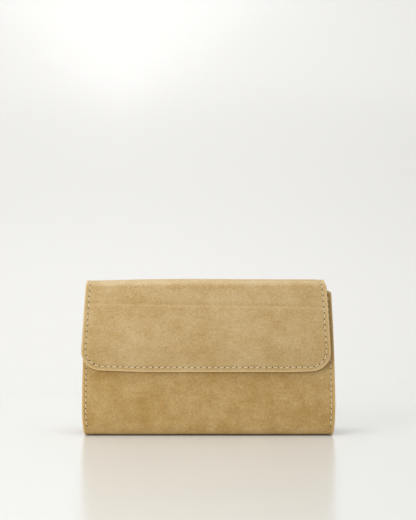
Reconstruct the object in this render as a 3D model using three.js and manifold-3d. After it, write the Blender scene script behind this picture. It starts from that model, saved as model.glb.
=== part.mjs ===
// A suede clutch wallet with a fold-over flap, a magnetic snap and a zipped inner pocket.
// Millimetres. X runs across the wallet, -Y is the front, +Z is up, and the origin is the
// middle of the flat base. The flap is closed.
import * as THREE from 'three';
import { mergeVertices } from 'three/addons/utils/BufferGeometryUtils.js';
import Module from 'manifold-3d';

const wasm = await Module();
wasm.setup();

// ---------------------------------------------------------------- driving dimensions
const BODY_HALF_TOP = 104.3; // half of the width across the top of the panels
const BODY_HALF_WIDE = 106.3; // the same at the widest level
const BODY_HALF_FOOT = 103.9; // the same where the panels turn under the base
const WIDEST_Z = 30;
const BODY_DEPTH = 49.4; // across the foot
const FOOT_R = 9; // outer radius of the fold between a panel and the base
const FRONT_TOP_Z = 120.2;
const BACK_TOP_Z = 121;
const FRONT_TOP_Y = 6.4; // from the middle plane to the outer face, at the top
const BACK_TOP_Y = 8.8;
const PANEL_BULGE = 0.8; // how far a panel bows out between its ends

const SUEDE = 1.2;
const BOARD = 0.6;
const LINING = 0.4;
const GAP = 0.3; // kept between pieces that touch
const SNUG = 0.25; // the same, where many layers lie together

const FLAP_X = -2.1; // the flap is sewn on a little to the left
const FLAP_HALF_TOP = 102.6;
const FLAP_HALF_LOW = 106;
const FLAP_LENGTH = 71.1; // from the end of the roll to the lower edge
const FLAP_LEAN = THREE.MathUtils.degToRad(10.3); // of a line from the roll to the lower edge
const FLAP_BOW = 1.5; // how far the flap bows out over the snap
const FLAP_CORNER_R = 17.5;
const TAIL_FOOT_Z = 100; // the lower edge of the strip that is sewn to the back
const ROLL_R = 10.4; // outer radius of the fold over the top
const ROLL_START_Z = 121.6;
const HINGE_GAP = 1.8; // along the leather, at each line where it folds
const ROLL_HINGES = 3;

const SEAM_IN = 3; // from an edge of a panel to its stitching
const FLAP_SEAM_IN = 3.7;
const THREAD_W = 0.7;
const THREAD_H = 0.4;
const SEAM_FOOT_Z = 11;

const GUSSET_T = 1;
const GUSSET_IN = 4.2; // from the panels' edges to the gusset
const GUSSET_FLAT_FOOT = 44; // width of the gusset laid flat, at its foot and at its top
const GUSSET_FLAT_TOP = 38;
const LINING_MARGIN = 14; // from the panels' edges to the boards and linings

const SNAP_Z = 72;
const SNAP_R = 7;
const STUD_R = 2.4;
const SOCKET_HOLE_R = 3;
const WASHER_R = 8.5;

const ZIP_Z = 88;
const ZIP_HALF = 62; // half of the length of the row of teeth
const TEETH_PITCH = 1.5;
const SLIDER_LENGTH = 10;
const SLIDER_REST_X = -54;
const PULLER_LENGTH = 17;

// Distances from the outer face of the back panel to the layers inside it.
const BOARD_IN = SUEDE + GAP;
const BAG_IN = BOARD_IN + BOARD + GAP;
const TAPE_IN = BAG_IN + LINING + GAP;
const BACK_LINING_IN = TAPE_IN + LINING + GAP;
const TEETH_IN = BACK_LINING_IN;
const TEETH_DEPTH = 1.2;
const WASHER_IN = BOARD_IN + BOARD + SNUG;
const WASHER_T = 0.5;
const FRONT_LINING_IN = WASHER_IN + WASHER_T + SNUG;
const FLAP_BOARD = 0.5;
const FLAP_BOARD_IN = SUEDE + SNUG;
const FLAP_LINING_IN = FLAP_BOARD_IN + FLAP_BOARD + SNUG;

// ---------------------------------------------------------------- materials
function matte(color, roughness, metalness = 0) {
  return new THREE.MeshStandardMaterial({ color, roughness, metalness });
}
const suede = matte('#bda06e', 0.96);
const suedeShade = matte('#af925f', 0.96);
const board = matte('#8d7a5e', 0.9);
const cotton = matte('#d9c9a6', 0.92);
const thread = matte('#e3d3ac', 0.8);
const brass = matte('#c9a869', 0.32, 1);
const magnet = matte('#4b4a48', 0.45, 0.9);

// ---------------------------------------------------------------- solids
const wallet = new THREE.Group();

function addMesh(name, geometry, material, parent = wallet) {
  const mesh = new THREE.Mesh(geometry, material);
  mesh.name = name;
  parent.add(mesh);
  return mesh;
}

function solidOf(geometry) {
  const bare = geometry.clone();
  bare.deleteAttribute('normal');
  bare.deleteAttribute('uv');
  const merged = mergeVertices(bare, 1e-4);
  return new wasm.Manifold(new wasm.Mesh({
    numProp: 3,
    vertProperties: Float32Array.from(merged.attributes.position.array),
    triVerts: Uint32Array.from(merged.index.array),
  }));
}

function geometryOf(solid) {
  const mesh = solid.getMesh();
  const geometry = new THREE.BufferGeometry();
  geometry.setAttribute('position', new THREE.BufferAttribute(mesh.vertProperties, 3));
  geometry.setIndex(new THREE.BufferAttribute(mesh.triVerts, 1));
  return geometry;
}

// A closed solid between two grids of points with the same rows and columns.
function slab(outer, inner) {
  const rows = outer.length;
  const columns = outer[0].length;
  const points = [...outer.flat(), ...inner.flat()];
  const at = (side, i, j) => side * rows * columns + i * columns + j;
  const faces = [];
  const quad = (a, b, c, d) => faces.push(a, b, c, a, c, d);
  for (let i = 0; i + 1 < rows; i += 1) {
    for (let j = 0; j + 1 < columns; j += 1) {
      quad(at(0, i, j), at(0, i, j + 1), at(0, i + 1, j + 1), at(0, i + 1, j));
      quad(at(1, i, j), at(1, i + 1, j), at(1, i + 1, j + 1), at(1, i, j + 1));
    }
    const last = columns - 1;
    quad(at(0, i, 0), at(0, i + 1, 0), at(1, i + 1, 0), at(1, i, 0));
    quad(at(0, i, last), at(1, i, last), at(1, i + 1, last), at(0, i + 1, last));
  }
  for (let j = 0; j + 1 < columns; j += 1) {
    const last = rows - 1;
    quad(at(0, 0, j), at(1, 0, j), at(1, 0, j + 1), at(0, 0, j + 1));
    quad(at(0, last, j), at(0, last, j + 1), at(1, last, j + 1), at(1, last, j));
  }
  let volume = 0;
  for (let k = 0; k < faces.length; k += 3) {
    const [a, b, c] = [points[faces[k]], points[faces[k + 1]], points[faces[k + 2]]];
    volume += a.dot(b.clone().cross(c));
  }
  if (volume < 0) {
    faces.reverse();
  }
  const geometry = new THREE.BufferGeometry().setFromPoints(points);
  geometry.setIndex(faces);
  return geometry;
}

// ---------------------------------------------------------------- the section of the wallet
// A station is a point of an outer face in the YZ plane with its outward normal there.
function station(y, z, angle) {
  return { y, z, ny: Math.cos(angle), nz: Math.sin(angle) };
}

function inset(place, depth, x) {
  return new THREE.Vector3(x, place.y - depth * place.ny, place.z - depth * place.nz);
}

function steps(from, to, count) {
  return Array.from({ length: count + 1 }, (_, i) => from + (to - from) * i / count);
}

function panel(side, topY, topZ) {
  const centreY = BODY_DEPTH / 2 - FOOT_R;
  const chordLean = Math.atan2(BODY_DEPTH / 2 - topY, topZ - FOOT_R);
  const bowLean = Math.atan2(4 * PANEL_BULGE, topZ - FOOT_R);
  const footLean = chordLean - bowLean;
  const foot = {
    y: centreY + FOOT_R * Math.cos(footLean),
    z: FOOT_R + FOOT_R * Math.sin(footLean),
  };
  const faceAt = (z) => {
    const t = (z - foot.z) / (topZ - foot.z);
    return foot.y + (topY - foot.y) * t + 4 * PANEL_BULGE * t * (1 - t);
  };
  const at = (z) => {
    const lean = Math.atan2(faceAt(z - 0.5) - faceAt(z + 0.5), 1);
    const outward = station(faceAt(z), z, lean);
    return { ...outward, y: side * outward.y, ny: side * outward.ny };
  };
  const corner = (angle) => {
    const place = station(centreY + FOOT_R * Math.cos(angle), FOOT_R + FOOT_R * Math.sin(angle), angle);
    return { ...place, y: side * place.y, ny: side * place.ny };
  };
  return { at, corner, footLean, footZ: foot.z, topZ };
}

const front = panel(-1, FRONT_TOP_Y, FRONT_TOP_Z);
const back = panel(1, BACK_TOP_Y, BACK_TOP_Z);

function bodyHalf(z) {
  if (z > WIDEST_Z) {
    const t = (z - WIDEST_Z) / (BACK_TOP_Z - WIDEST_Z);
    return BODY_HALF_WIDE - (BODY_HALF_WIDE - BODY_HALF_TOP) * t * t;
  }
  const t = (WIDEST_Z - z) / WIDEST_Z;
  return BODY_HALF_WIDE - (BODY_HALF_WIDE - BODY_HALF_FOOT) * t ** 2.5;
}

// A layer that follows stations, from depth to depth + thickness inside the outer face.
function layer(stations, half, depth, thickness, middle = 0) {
  const row = (place, d) => [inset(place, d, middle - half(place)), inset(place, d, middle + half(place))];
  return slab(stations.map((p) => row(p, depth)), stations.map((p) => row(p, depth + thickness)));
}

function panelStations(side, low, high, count = 12) {
  return steps(low, high, count).map(side.at);
}

const FOLD_STEPS = 6;
const backFold = steps(-Math.PI / 2, back.footLean, FOLD_STEPS).map(back.corner);
const FRONT_FOLD_GAP = 0.06; // radians left open below the front panel's foot
const frontFold = steps(front.footLean - FRONT_FOLD_GAP, -Math.PI / 2, FOLD_STEPS).map(front.corner);

function widthLess(margin) {
  return (place) => bodyHalf(Math.max(place.z, 0)) - margin;
}

// ---------------------------------------------------------------- suede body
const wrapStations = [...frontFold, ...backFold, ...panelStations(back, back.footZ + 4, BACK_TOP_Z)];
addMesh('body_wrap', layer(wrapStations, widthLess(0), 0, SUEDE), suede);

const FRONT_FOOT_Z = front.footZ + 0.9;
const frontStations = panelStations(front, FRONT_FOOT_Z, FRONT_TOP_Z);
addMesh('front_panel', layer(frontStations, widthLess(0), 0, SUEDE), suede);

const BOARD_LOW = FOOT_R + 4;
const BOARD_HIGH = 4; // from a panel's top edge down to its board
const LINING_HIGH = 0.5; // the same down to its lining
const liningHalf = widthLess(LINING_MARGIN);
addMesh('front_board', layer(panelStations(front, BOARD_LOW, FRONT_TOP_Z - BOARD_HIGH, 8),
  liningHalf, BOARD_IN, BOARD), board);
addMesh('back_board', layer(panelStations(back, BOARD_LOW, BACK_TOP_Z - BOARD_HIGH, 8),
  liningHalf, BOARD_IN, BOARD), board);
addMesh('front_lining', layer(panelStations(front, BOARD_LOW, FRONT_TOP_Z - LINING_HIGH),
  liningHalf, FRONT_LINING_IN, LINING), cotton);

const BASE_FLAT = BODY_DEPTH / 2 - FOOT_R; // half of the depth of the flat of the base
const baseStations = [station(-BASE_FLAT, 0, -Math.PI / 2), station(BASE_FLAT, 0, -Math.PI / 2)];
addMesh('base_board', layer(baseStations, liningHalf, BOARD_IN, BOARD), board);
addMesh('base_lining', layer(baseStations, liningHalf, BAG_IN, LINING), cotton);

// ---------------------------------------------------------------- gussets
// Each side is closed by a strip that is sewn to both panels and folds inwards along its middle.
const GUSSET_CLEAR = 0.5; // from the suede of each panel
function innerHalfDepth(side, z) {
  const depth = SUEDE + GUSSET_CLEAR;
  if (z < side.footZ + 2) {
    return BASE_FLAT + Math.sqrt(Math.max((FOOT_R - depth) ** 2 - (FOOT_R - z) ** 2, 0));
  }
  return Math.abs(side.at(z).y) - depth;
}

function gussetDepth(z) {
  const flat = THREE.MathUtils.mapLinear(z, 0, FRONT_TOP_Z, GUSSET_FLAT_FOOT, GUSSET_FLAT_TOP);
  const across = innerHalfDepth(front, z) + innerHalfDepth(back, z);
  return Math.sqrt(Math.max((flat / 2) ** 2 - (across / 2) ** 2, 1));
}

const GUSSET_FOOT_LEVELS = [3.2, 5, 8, 12]; // closer together round the fold of the panels
function gusset(side) {
  const columns = [-1, -0.5, 0, 0.5, 1];
  const fold = (t) => 1 - Math.abs(t);
  const row = (z, inwards) => {
    const yFront = -innerHalfDepth(front, z);
    const yBack = innerHalfDepth(back, z);
    return columns.map((t) => {
      const x = bodyHalf(z) - GUSSET_IN - gussetDepth(z) * fold(t) - inwards;
      return new THREE.Vector3(side * x, THREE.MathUtils.mapLinear(t, -1, 1, yFront, yBack), z);
    });
  };
  const levels = [...GUSSET_FOOT_LEVELS, ...steps(20, FRONT_TOP_Z - 2, 8)];
  return slab(levels.map((z) => row(z, 0)), levels.map((z) => row(z, GUSSET_T)));
}

addMesh('left_gusset', gusset(-1), suedeShade);
addMesh('right_gusset', gusset(1), suedeShade);

// ---------------------------------------------------------------- flap
// The flap lies on the back as a tail, rolls over the top and hangs down in front.
const TAIL_OUT = SUEDE + GAP; // the tail's outer face stands this far off the back panel
const rollStart = back.at(ROLL_START_Z);
const rollStartAngle = Math.atan2(rollStart.nz, rollStart.ny);
const rollStartPoint = inset(rollStart, -TAIL_OUT, 0);
const rollCentre = {
  y: rollStartPoint.y - ROLL_R * rollStart.ny,
  z: rollStartPoint.z - ROLL_R * rollStart.nz,
};
const rollEndAngle = Math.PI - FLAP_LEAN - Math.atan2(4 * FLAP_BOW, FLAP_LENGTH);

function rollStation(angle) {
  return station(rollCentre.y + ROLL_R * Math.cos(angle), rollCentre.z + ROLL_R * Math.sin(angle), angle);
}

const flapTop = rollStation(rollEndAngle);

// down is the distance along the flap below the end of the roll.
function flapStation(down) {
  const t = down / FLAP_LENGTH;
  const bow = 4 * FLAP_BOW * t * (1 - t);
  const slope = Math.atan2(4 * FLAP_BOW * (1 - 2 * t), FLAP_LENGTH);
  const y = flapTop.y - down * Math.sin(FLAP_LEAN) - bow * Math.cos(FLAP_LEAN);
  const z = flapTop.z - down * Math.cos(FLAP_LEAN) + bow * Math.sin(FLAP_LEAN);
  return station(y, z, Math.PI - FLAP_LEAN - slope);
}

function flapHalfAt(down, margin = 0) {
  const straight = THREE.MathUtils.mapLinear(down, 0, FLAP_LENGTH, FLAP_HALF_TOP, FLAP_HALF_LOW) - margin;
  const radius = FLAP_CORNER_R - margin;
  const past = down - (FLAP_LENGTH - margin - radius);
  return past > 0 ? straight - radius + Math.sqrt(Math.max(radius ** 2 - past ** 2, 0)) : straight;
}

// The levels of a flap layer: straight first, then round the corners by equal angles.
function flapLevels(start, margin) {
  const radius = FLAP_CORNER_R - margin;
  const straightEnd = FLAP_LENGTH - margin - radius;
  const arc = steps(0, Math.PI / 2, 9).slice(1);
  return [...steps(start, straightEnd, 8), ...arc.map((a) => straightEnd + radius * Math.sin(a))];
}

function flapLayer(start, margin, depth, thickness) {
  const levels = flapLevels(start, margin);
  const row = (down, d) => {
    const half = flapHalfAt(down, margin);
    const place = flapStation(down);
    return [inset(place, d, FLAP_X - half), inset(place, d, FLAP_X + half)];
  };
  return slab(levels.map((v) => row(v, depth)), levels.map((v) => row(v, depth + thickness)));
}

// The fold lines are spread evenly over the roll, on the leather's own middle layer.
const rollSpan = rollEndAngle - rollStartAngle;
const hingeAngles = steps(0.5, ROLL_HINGES - 0.5, ROLL_HINGES - 1)
  .map((n) => rollStartAngle + rollSpan * n / ROLL_HINGES);
const halfGapAngle = HINGE_GAP / 2 / (ROLL_R - SUEDE / 2);
const ROLL_LINING_IN = SUEDE + 0.5;
const FLAP_LINING_MARGIN = 2;

function rollStrip(from, to) {
  return steps(from, to, 5).map(rollStation);
}

const rearStations = rollStrip(hingeAngles[0] + halfGapAngle, hingeAngles[1] - halfGapAngle);
const foreStations = rollStrip(hingeAngles[1] + halfGapAngle, hingeAngles[2] - halfGapAngle);
const tailStations = [
  ...steps(TAIL_FOOT_Z, BACK_TOP_Z, 4).map((z) => {
    const place = back.at(z);
    const outer = inset(place, -TAIL_OUT, 0);
    return { ...place, y: outer.y, z: outer.z };
  }),
  ...rollStrip(rollStartAngle, hingeAngles[0] - halfGapAngle),
];

function leatherRun(stations, depth, thickness, margin) {
  return layer(stations, () => FLAP_HALF_TOP - margin, depth, thickness, FLAP_X);
}

addMesh('flap_tail', leatherRun(tailStations, 0, SUEDE, 0), suede);
addMesh('roll_rear', leatherRun(rearStations, 0, SUEDE, 0), suede);
addMesh('roll_front', leatherRun(foreStations, 0, SUEDE, 0), suede);
addMesh('roll_rear_lining', leatherRun(rearStations, ROLL_LINING_IN, LINING, FLAP_LINING_MARGIN), cotton);
addMesh('roll_front_lining', leatherRun(foreStations, ROLL_LINING_IN, LINING, FLAP_LINING_MARGIN), cotton);

const hangingStart = rollStrip(hingeAngles[2] + halfGapAngle, rollEndAngle);
function flapPiece(margin, depth, thickness) {
  const levels = flapLevels(0, margin).slice(1);
  const stations = [...hangingStart, ...levels.map(flapStation)];
  const halves = [...hangingStart.map(() => FLAP_HALF_TOP - margin), ...levels.map((v) => flapHalfAt(v, margin))];
  const row = (place, i, d) => [inset(place, d, FLAP_X - halves[i]), inset(place, d, FLAP_X + halves[i])];
  return slab(stations.map((p, i) => row(p, i, depth)), stations.map((p, i) => row(p, i, depth + thickness)));
}
addMesh('flap', flapPiece(0, 0, SUEDE), suede);
addMesh('flap_lining', flapPiece(FLAP_LINING_MARGIN, FLAP_LINING_IN, LINING), cotton);
const FLAP_BOARD_MARGIN = 6;
const FLAP_BOARD_TOP = 4; // down from the end of the roll
addMesh('flap_board', flapLayer(FLAP_BOARD_TOP, FLAP_BOARD_MARGIN, FLAP_BOARD_IN, FLAP_BOARD), board);

// ---------------------------------------------------------------- back lining and its pocket
const WINDOW_HALF = 4.3; // half of the height of the slot for the zip
const backLiningStations = panelStations(back, BOARD_LOW, BACK_TOP_Z - LINING_HIGH);
const backLining = solidOf(layer(backLiningStations, liningHalf, BACK_LINING_IN, LINING));
const WINDOW_REACH = 4; // the slot's length beyond each end of the teeth
const windowBox = new THREE.BoxGeometry(2 * (ZIP_HALF + WINDOW_REACH), BODY_DEPTH / 2, 2 * WINDOW_HALF);
windowBox.translate(0, BACK_TOP_Y, ZIP_Z);
addMesh('back_lining', geometryOf(backLining.subtract(solidOf(windowBox))), cotton);

const BAG_FOOT_Z = 24;
const BAG_TOP_Z = 100;
const BAG_HALF = ZIP_HALF + 10;
addMesh('pocket_bag', layer(panelStations(back, BAG_FOOT_Z, BAG_TOP_Z, 8), () => BAG_HALF,
  BAG_IN, LINING), cotton);

const TAPE_EDGE = 0.5; // from the middle of the teeth to each tape
const TAPE_WIDTH = 9;
const TAPE_HALF = ZIP_HALF + 6;
addMesh('zip_tape_upper', layer(panelStations(back, ZIP_Z + TAPE_EDGE, ZIP_Z + TAPE_WIDTH, 2),
  () => TAPE_HALF, TAPE_IN, LINING), suedeShade);
addMesh('zip_tape_lower', layer(panelStations(back, ZIP_Z - TAPE_WIDTH, ZIP_Z - TAPE_EDGE, 2),
  () => TAPE_HALF, TAPE_IN, LINING), suedeShade);

// The zip's own axes: X along it, Y out through the back panel, Z up the panel.
const zipPlace = back.at(ZIP_Z);
const zipLean = Math.atan2(zipPlace.nz, zipPlace.ny);
const zipAxes = new THREE.Group();
zipAxes.position.set(0, zipPlace.y, ZIP_Z);
zipAxes.rotation.x = zipLean;
wallet.add(zipAxes);

const TEETH_HALF = 1.5;
const TEETH_RIDGE = 0.35;

function extrudeCentred(shape, depth) {
  const geometry = new THREE.ExtrudeGeometry(shape, { depth, bevelEnabled: false, curveSegments: 10 });
  geometry.translate(0, 0, -depth / 2);
  return geometry;
}

function teethShape() {
  const count = Math.round(2 * ZIP_HALF / TEETH_PITCH);
  const outline = [new THREE.Vector2(-ZIP_HALF, -TEETH_IN - TEETH_DEPTH / 2)];
  for (let i = 0; i < count; i += 1) {
    const x = -ZIP_HALF + (i + 0.25) * TEETH_PITCH;
    outline.push(new THREE.Vector2(x, -TEETH_IN - TEETH_DEPTH));
    outline.push(new THREE.Vector2(x + TEETH_PITCH / 2, -TEETH_IN - TEETH_DEPTH + TEETH_RIDGE));
  }
  outline.push(new THREE.Vector2(ZIP_HALF, -TEETH_IN - TEETH_DEPTH / 2));
  outline.push(new THREE.Vector2(ZIP_HALF, -TEETH_IN));
  outline.push(new THREE.Vector2(-ZIP_HALF, -TEETH_IN));
  return new THREE.Shape(outline);
}
addMesh('zip_teeth', extrudeCentred(teethShape(), 2 * TEETH_HALF), brass, zipAxes);

const STOP_LENGTH = 2.2;
for (const [name, side] of [['zip_stop_left', -1], ['zip_stop_right', 1]]) {
  const stop = new THREE.BoxGeometry(STOP_LENGTH, TEETH_DEPTH + 0.4, 2 * TEETH_HALF + 0.8);
  const x = side * (ZIP_HALF + GAP + STOP_LENGTH / 2);
  stop.translate(x, -TEETH_IN - TEETH_DEPTH / 2, 0);
  addMesh(name, stop, brass, zipAxes);
}

const SLIDER_TOP_IN = TEETH_IN + TEETH_DEPTH + GAP;
const SLIDER_T = 1.2;
const SLIDER_HALF = 3.3;
const SLIDER_FLANGE = 1.3;
const FLANGE_IN = TAPE_IN + LINING + 0.5;
const BRIDGE_RISE = 3;
const BRIDGE_HALF = 3.2;
const BRIDGE_BAR = 1;

function sliderSolid() {
  const low = -FLANGE_IN;
  const roof = -SLIDER_TOP_IN;
  const outside = roof - SLIDER_T;
  const inner = SLIDER_HALF - SLIDER_FLANGE;
  const channel = new THREE.Shape([
    [low, -SLIDER_HALF], [low, -inner], [roof, -inner], [roof, inner],
    [low, inner], [low, SLIDER_HALF], [outside, SLIDER_HALF], [outside, -SLIDER_HALF],
  ].map(([y, z]) => new THREE.Vector2(z, y)));
  const base = extrudeCentred(channel, SLIDER_LENGTH);
  base.rotateY(Math.PI / 2);
  const foot = outside + 0.2;
  const crown = outside - BRIDGE_RISE;
  const arch = new THREE.Shape([
    [-BRIDGE_HALF, foot], [-BRIDGE_HALF, crown + 1], [-BRIDGE_HALF + 1, crown],
    [BRIDGE_HALF - 1, crown], [BRIDGE_HALF, crown + 1], [BRIDGE_HALF, foot],
    [BRIDGE_HALF - BRIDGE_BAR, foot], [BRIDGE_HALF - BRIDGE_BAR, crown + BRIDGE_BAR],
    [-BRIDGE_HALF + BRIDGE_BAR, crown + BRIDGE_BAR], [-BRIDGE_HALF + BRIDGE_BAR, foot],
  ].map(([x, y]) => new THREE.Vector2(x, y)));
  const bridge = extrudeCentred(arch, 1.6);
  return geometryOf(solidOf(base).add(solidOf(bridge)));
}
const slider = addMesh('zip_slider', sliderSolid(), brass, zipAxes);
slider.position.x = SLIDER_REST_X;

// The puller hangs plumb from the slider's bridge, its eye round the bar.
const EYE_IN = SLIDER_TOP_IN + SLIDER_T + BRIDGE_RISE - BRIDGE_BAR / 2;
const EYE_HOLE_R = 1.3;
const EYE_R = 2.05;
const PULLER_T = 0.9;
const PULLER_TIP_R = 2.3;
function pullerShape() {
  const shape = new THREE.Shape();
  const tipZ = -PULLER_LENGTH + PULLER_TIP_R;
  shape.absarc(0, 0, EYE_R, -Math.PI * 0.3, Math.PI * 1.3, false);
  shape.lineTo(-PULLER_TIP_R, tipZ);
  shape.absarc(0, tipZ, PULLER_TIP_R, Math.PI, 2 * Math.PI, false);
  const eye = new THREE.Path();
  eye.absarc(0, 0, EYE_HOLE_R, 0, 2 * Math.PI, true);
  shape.holes.push(eye);
  return shape;
}
const pullerGeometry = extrudeCentred(pullerShape(), PULLER_T);
pullerGeometry.rotateX(Math.PI / 2);
pullerGeometry.rotateZ(Math.PI / 2);
const puller = addMesh('zip_puller', pullerGeometry, brass);
const eyePoint = inset(zipPlace, EYE_IN, SLIDER_REST_X);
puller.position.copy(eyePoint);

// ---------------------------------------------------------------- magnetic snap
// A part of the snap is turned about the outward normal of a face. Profile points are
// [radius, height over the face].
function turned(profile, place, material, name) {
  const closed = [...profile, profile[0]].map(([r, h]) => new THREE.Vector2(r, h));
  const geometry = new THREE.LatheGeometry(closed, 32);
  const mesh = addMesh(name, geometry, material);
  const outward = new THREE.Vector3(0, place.ny, place.nz);
  mesh.quaternion.setFromUnitVectors(new THREE.Vector3(0, 1, 0), outward);
  mesh.position.set(0, place.y, place.z);
  return mesh;
}

function ring(inner, outer, low, high) {
  return [[inner, low], [outer, low], [outer, high], [inner, high]];
}

const SOCKET_HIGH = 1.5;
const socketPlace = front.at(SNAP_Z);
turned(ring(SOCKET_HOLE_R, SNAP_R, SNUG, SOCKET_HIGH), socketPlace, brass, 'snap_socket');
turned(ring(SOCKET_HOLE_R, WASHER_R, -WASHER_IN - WASHER_T, -WASHER_IN), socketPlace, magnet, 'socket_washer');

// The stud is on the flap, straight in front of the socket.
const flapDownToSnap = (flapTop.y - socketPlace.y) * Math.sin(FLAP_LEAN)
  + (flapTop.z - socketPlace.z) * Math.cos(FLAP_LEAN);
const studPlace = flapStation(flapDownToSnap);
const STUD_LOW = FLAP_LINING_IN + LINING + SNUG;
const STUD_PLATE = 0.6;
const STUD_REACH = 1.1;
turned([
  [0, -STUD_LOW], [0, -STUD_LOW - STUD_PLATE - STUD_REACH], [STUD_R, -STUD_LOW - STUD_PLATE - STUD_REACH],
  [STUD_R, -STUD_LOW - STUD_PLATE], [SNAP_R, -STUD_LOW - STUD_PLATE], [SNAP_R, -STUD_LOW],
], studPlace, brass, 'snap_stud');

// ---------------------------------------------------------------- stitching
// A row of stitching is one flat thread on the outside of the piece that it sews.
// Each place on its way is a point on the face with the directions outwards and across.
function seam(name, way) {
  const row = ({ point, outward, across }, height) => [-1, 1].map((s) => point.clone()
    .addScaledVector(across, s * THREAD_W / 2)
    .addScaledVector(outward, height));
  addMesh(name, slab(way.map((p) => row(p, GAP + THREAD_H)), way.map((p) => row(p, GAP))), thread);
}

function sideSeam(name, face, side, low, high) {
  const way = steps(low, high, 16).map((z) => {
    const place = face.at(z);
    return {
      point: inset(place, 0, side * (bodyHalf(z) - SEAM_IN)),
      outward: new THREE.Vector3(0, place.ny, place.nz),
      across: new THREE.Vector3(1, 0, 0),
    };
  });
  seam(name, way);
}

const SEAM_TOP = 3.5; // from a panel's top edge to the end of its side stitching
sideSeam('front_seam_left', front, -1, SEAM_FOOT_Z, FRONT_TOP_Z - SEAM_TOP);
sideSeam('front_seam_right', front, 1, SEAM_FOOT_Z, FRONT_TOP_Z - SEAM_TOP);
sideSeam('back_seam_left', back, -1, SEAM_FOOT_Z, TAIL_FOOT_Z - 2);
sideSeam('back_seam_right', back, 1, SEAM_FOOT_Z, TAIL_FOOT_Z - 2);

// The flap's own row runs down one side, round both corners and up the other side.
function flapSeamWay() {
  const radius = FLAP_CORNER_R - FLAP_SEAM_IN;
  const cornerDown = FLAP_LENGTH - FLAP_CORNER_R;
  const place = (x, down, angle) => {
    const level = flapStation(down);
    const downwards = new THREE.Vector3(0, -level.nz, level.ny);
    return {
      point: inset(level, 0, FLAP_X + x),
      outward: new THREE.Vector3(0, level.ny, level.nz),
      across: new THREE.Vector3(Math.cos(angle), 0, 0).addScaledVector(downwards, Math.sin(angle)),
    };
  };
  const cornerX = flapHalfAt(cornerDown, FLAP_SEAM_IN) - radius;
  const sideDown = steps(2, cornerDown, 6).slice(0, -1);
  const quarter = steps(0, Math.PI / 2, 8);
  const bend = (s, a) => {
    const x = s * (cornerX + radius * Math.cos(a));
    return place(x, cornerDown + radius * Math.sin(a), s > 0 ? a : Math.PI - a);
  };
  return [
    ...sideDown.map((down) => place(flapHalfAt(down, FLAP_SEAM_IN), down, 0)),
    ...quarter.map((a) => bend(1, a)),
    ...quarter.toReversed().map((a) => bend(-1, a)),
    ...sideDown.toReversed().map((down) => place(-flapHalfAt(down, FLAP_SEAM_IN), down, Math.PI)),
  ];
}
seam('flap_seam', flapSeamWay());

// A straight row across a face, at one height.
function crossSeam(name, place, depth, half, middle) {
  seam(name, steps(-half, half, 24).map((x) => ({
    point: inset(place, depth, middle + x),
    outward: new THREE.Vector3(0, place.ny, place.nz),
    across: new THREE.Vector3(0, -place.nz, place.ny),
  })));
}

const TOP_SEAM_IN = 3; // from the front panel's top edge
const topSeamPlace = front.at(FRONT_TOP_Z - TOP_SEAM_IN);
crossSeam('front_top_seam', topSeamPlace, 0, bodyHalf(FRONT_TOP_Z) - 2 * SEAM_IN, 0);

// The tail is sewn to the back panel along its lower edge.
const TAIL_SEAM_IN = 3;
const tailSeamPlace = back.at(TAIL_FOOT_Z + TAIL_SEAM_IN);
crossSeam('tail_seam', tailSeamPlace, -TAIL_OUT, FLAP_HALF_TOP - FLAP_SEAM_IN, FLAP_X);

export default wallet;
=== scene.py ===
"""Builds the visible clutch wallet round its frame: suede, linings, stitching, snap and zip."""

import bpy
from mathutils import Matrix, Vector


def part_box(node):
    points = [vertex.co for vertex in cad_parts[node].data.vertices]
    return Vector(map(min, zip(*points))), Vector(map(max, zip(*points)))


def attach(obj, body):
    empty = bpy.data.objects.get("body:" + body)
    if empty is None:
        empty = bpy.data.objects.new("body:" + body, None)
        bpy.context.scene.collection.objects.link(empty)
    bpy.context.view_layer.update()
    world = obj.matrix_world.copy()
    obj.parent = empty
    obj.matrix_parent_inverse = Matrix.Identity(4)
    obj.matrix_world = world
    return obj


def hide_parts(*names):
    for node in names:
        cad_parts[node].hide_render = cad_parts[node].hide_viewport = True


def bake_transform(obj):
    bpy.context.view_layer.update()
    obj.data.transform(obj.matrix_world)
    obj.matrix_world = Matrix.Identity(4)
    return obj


bl_info = {
    "name": "Suede Clutch Wallet",
    "version": (1, 0, 0),
    "blender": (4, 5, 0),
    "location": "3D View > Sidebar > Wallet",
    "description": "Makes the suede, linings, stitching and hardware of a flap-over clutch wallet",
    "category": "Object",
}

import math

import bmesh
import bpy
import numpy as np
from mathutils import Vector, noise
from mathutils.bvhtree import BVHTree

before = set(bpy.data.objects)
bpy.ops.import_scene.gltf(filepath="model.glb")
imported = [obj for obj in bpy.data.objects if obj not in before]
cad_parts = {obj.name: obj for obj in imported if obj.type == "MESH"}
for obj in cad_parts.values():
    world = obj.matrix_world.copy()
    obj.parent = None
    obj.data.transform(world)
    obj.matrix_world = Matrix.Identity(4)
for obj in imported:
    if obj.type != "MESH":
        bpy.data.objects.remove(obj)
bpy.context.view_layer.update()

# ------------------------------------------------------------------ sizes taken from the frame
WRAP_LOW, WRAP_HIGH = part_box("body_wrap")
FRONT_LOW, FRONT_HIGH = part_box("front_panel")
TAIL_LOW, TAIL_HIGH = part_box("flap_tail")
FLAP_LOW, FLAP_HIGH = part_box("flap")
TEETH_LOW, TEETH_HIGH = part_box("zip_teeth")

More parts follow.
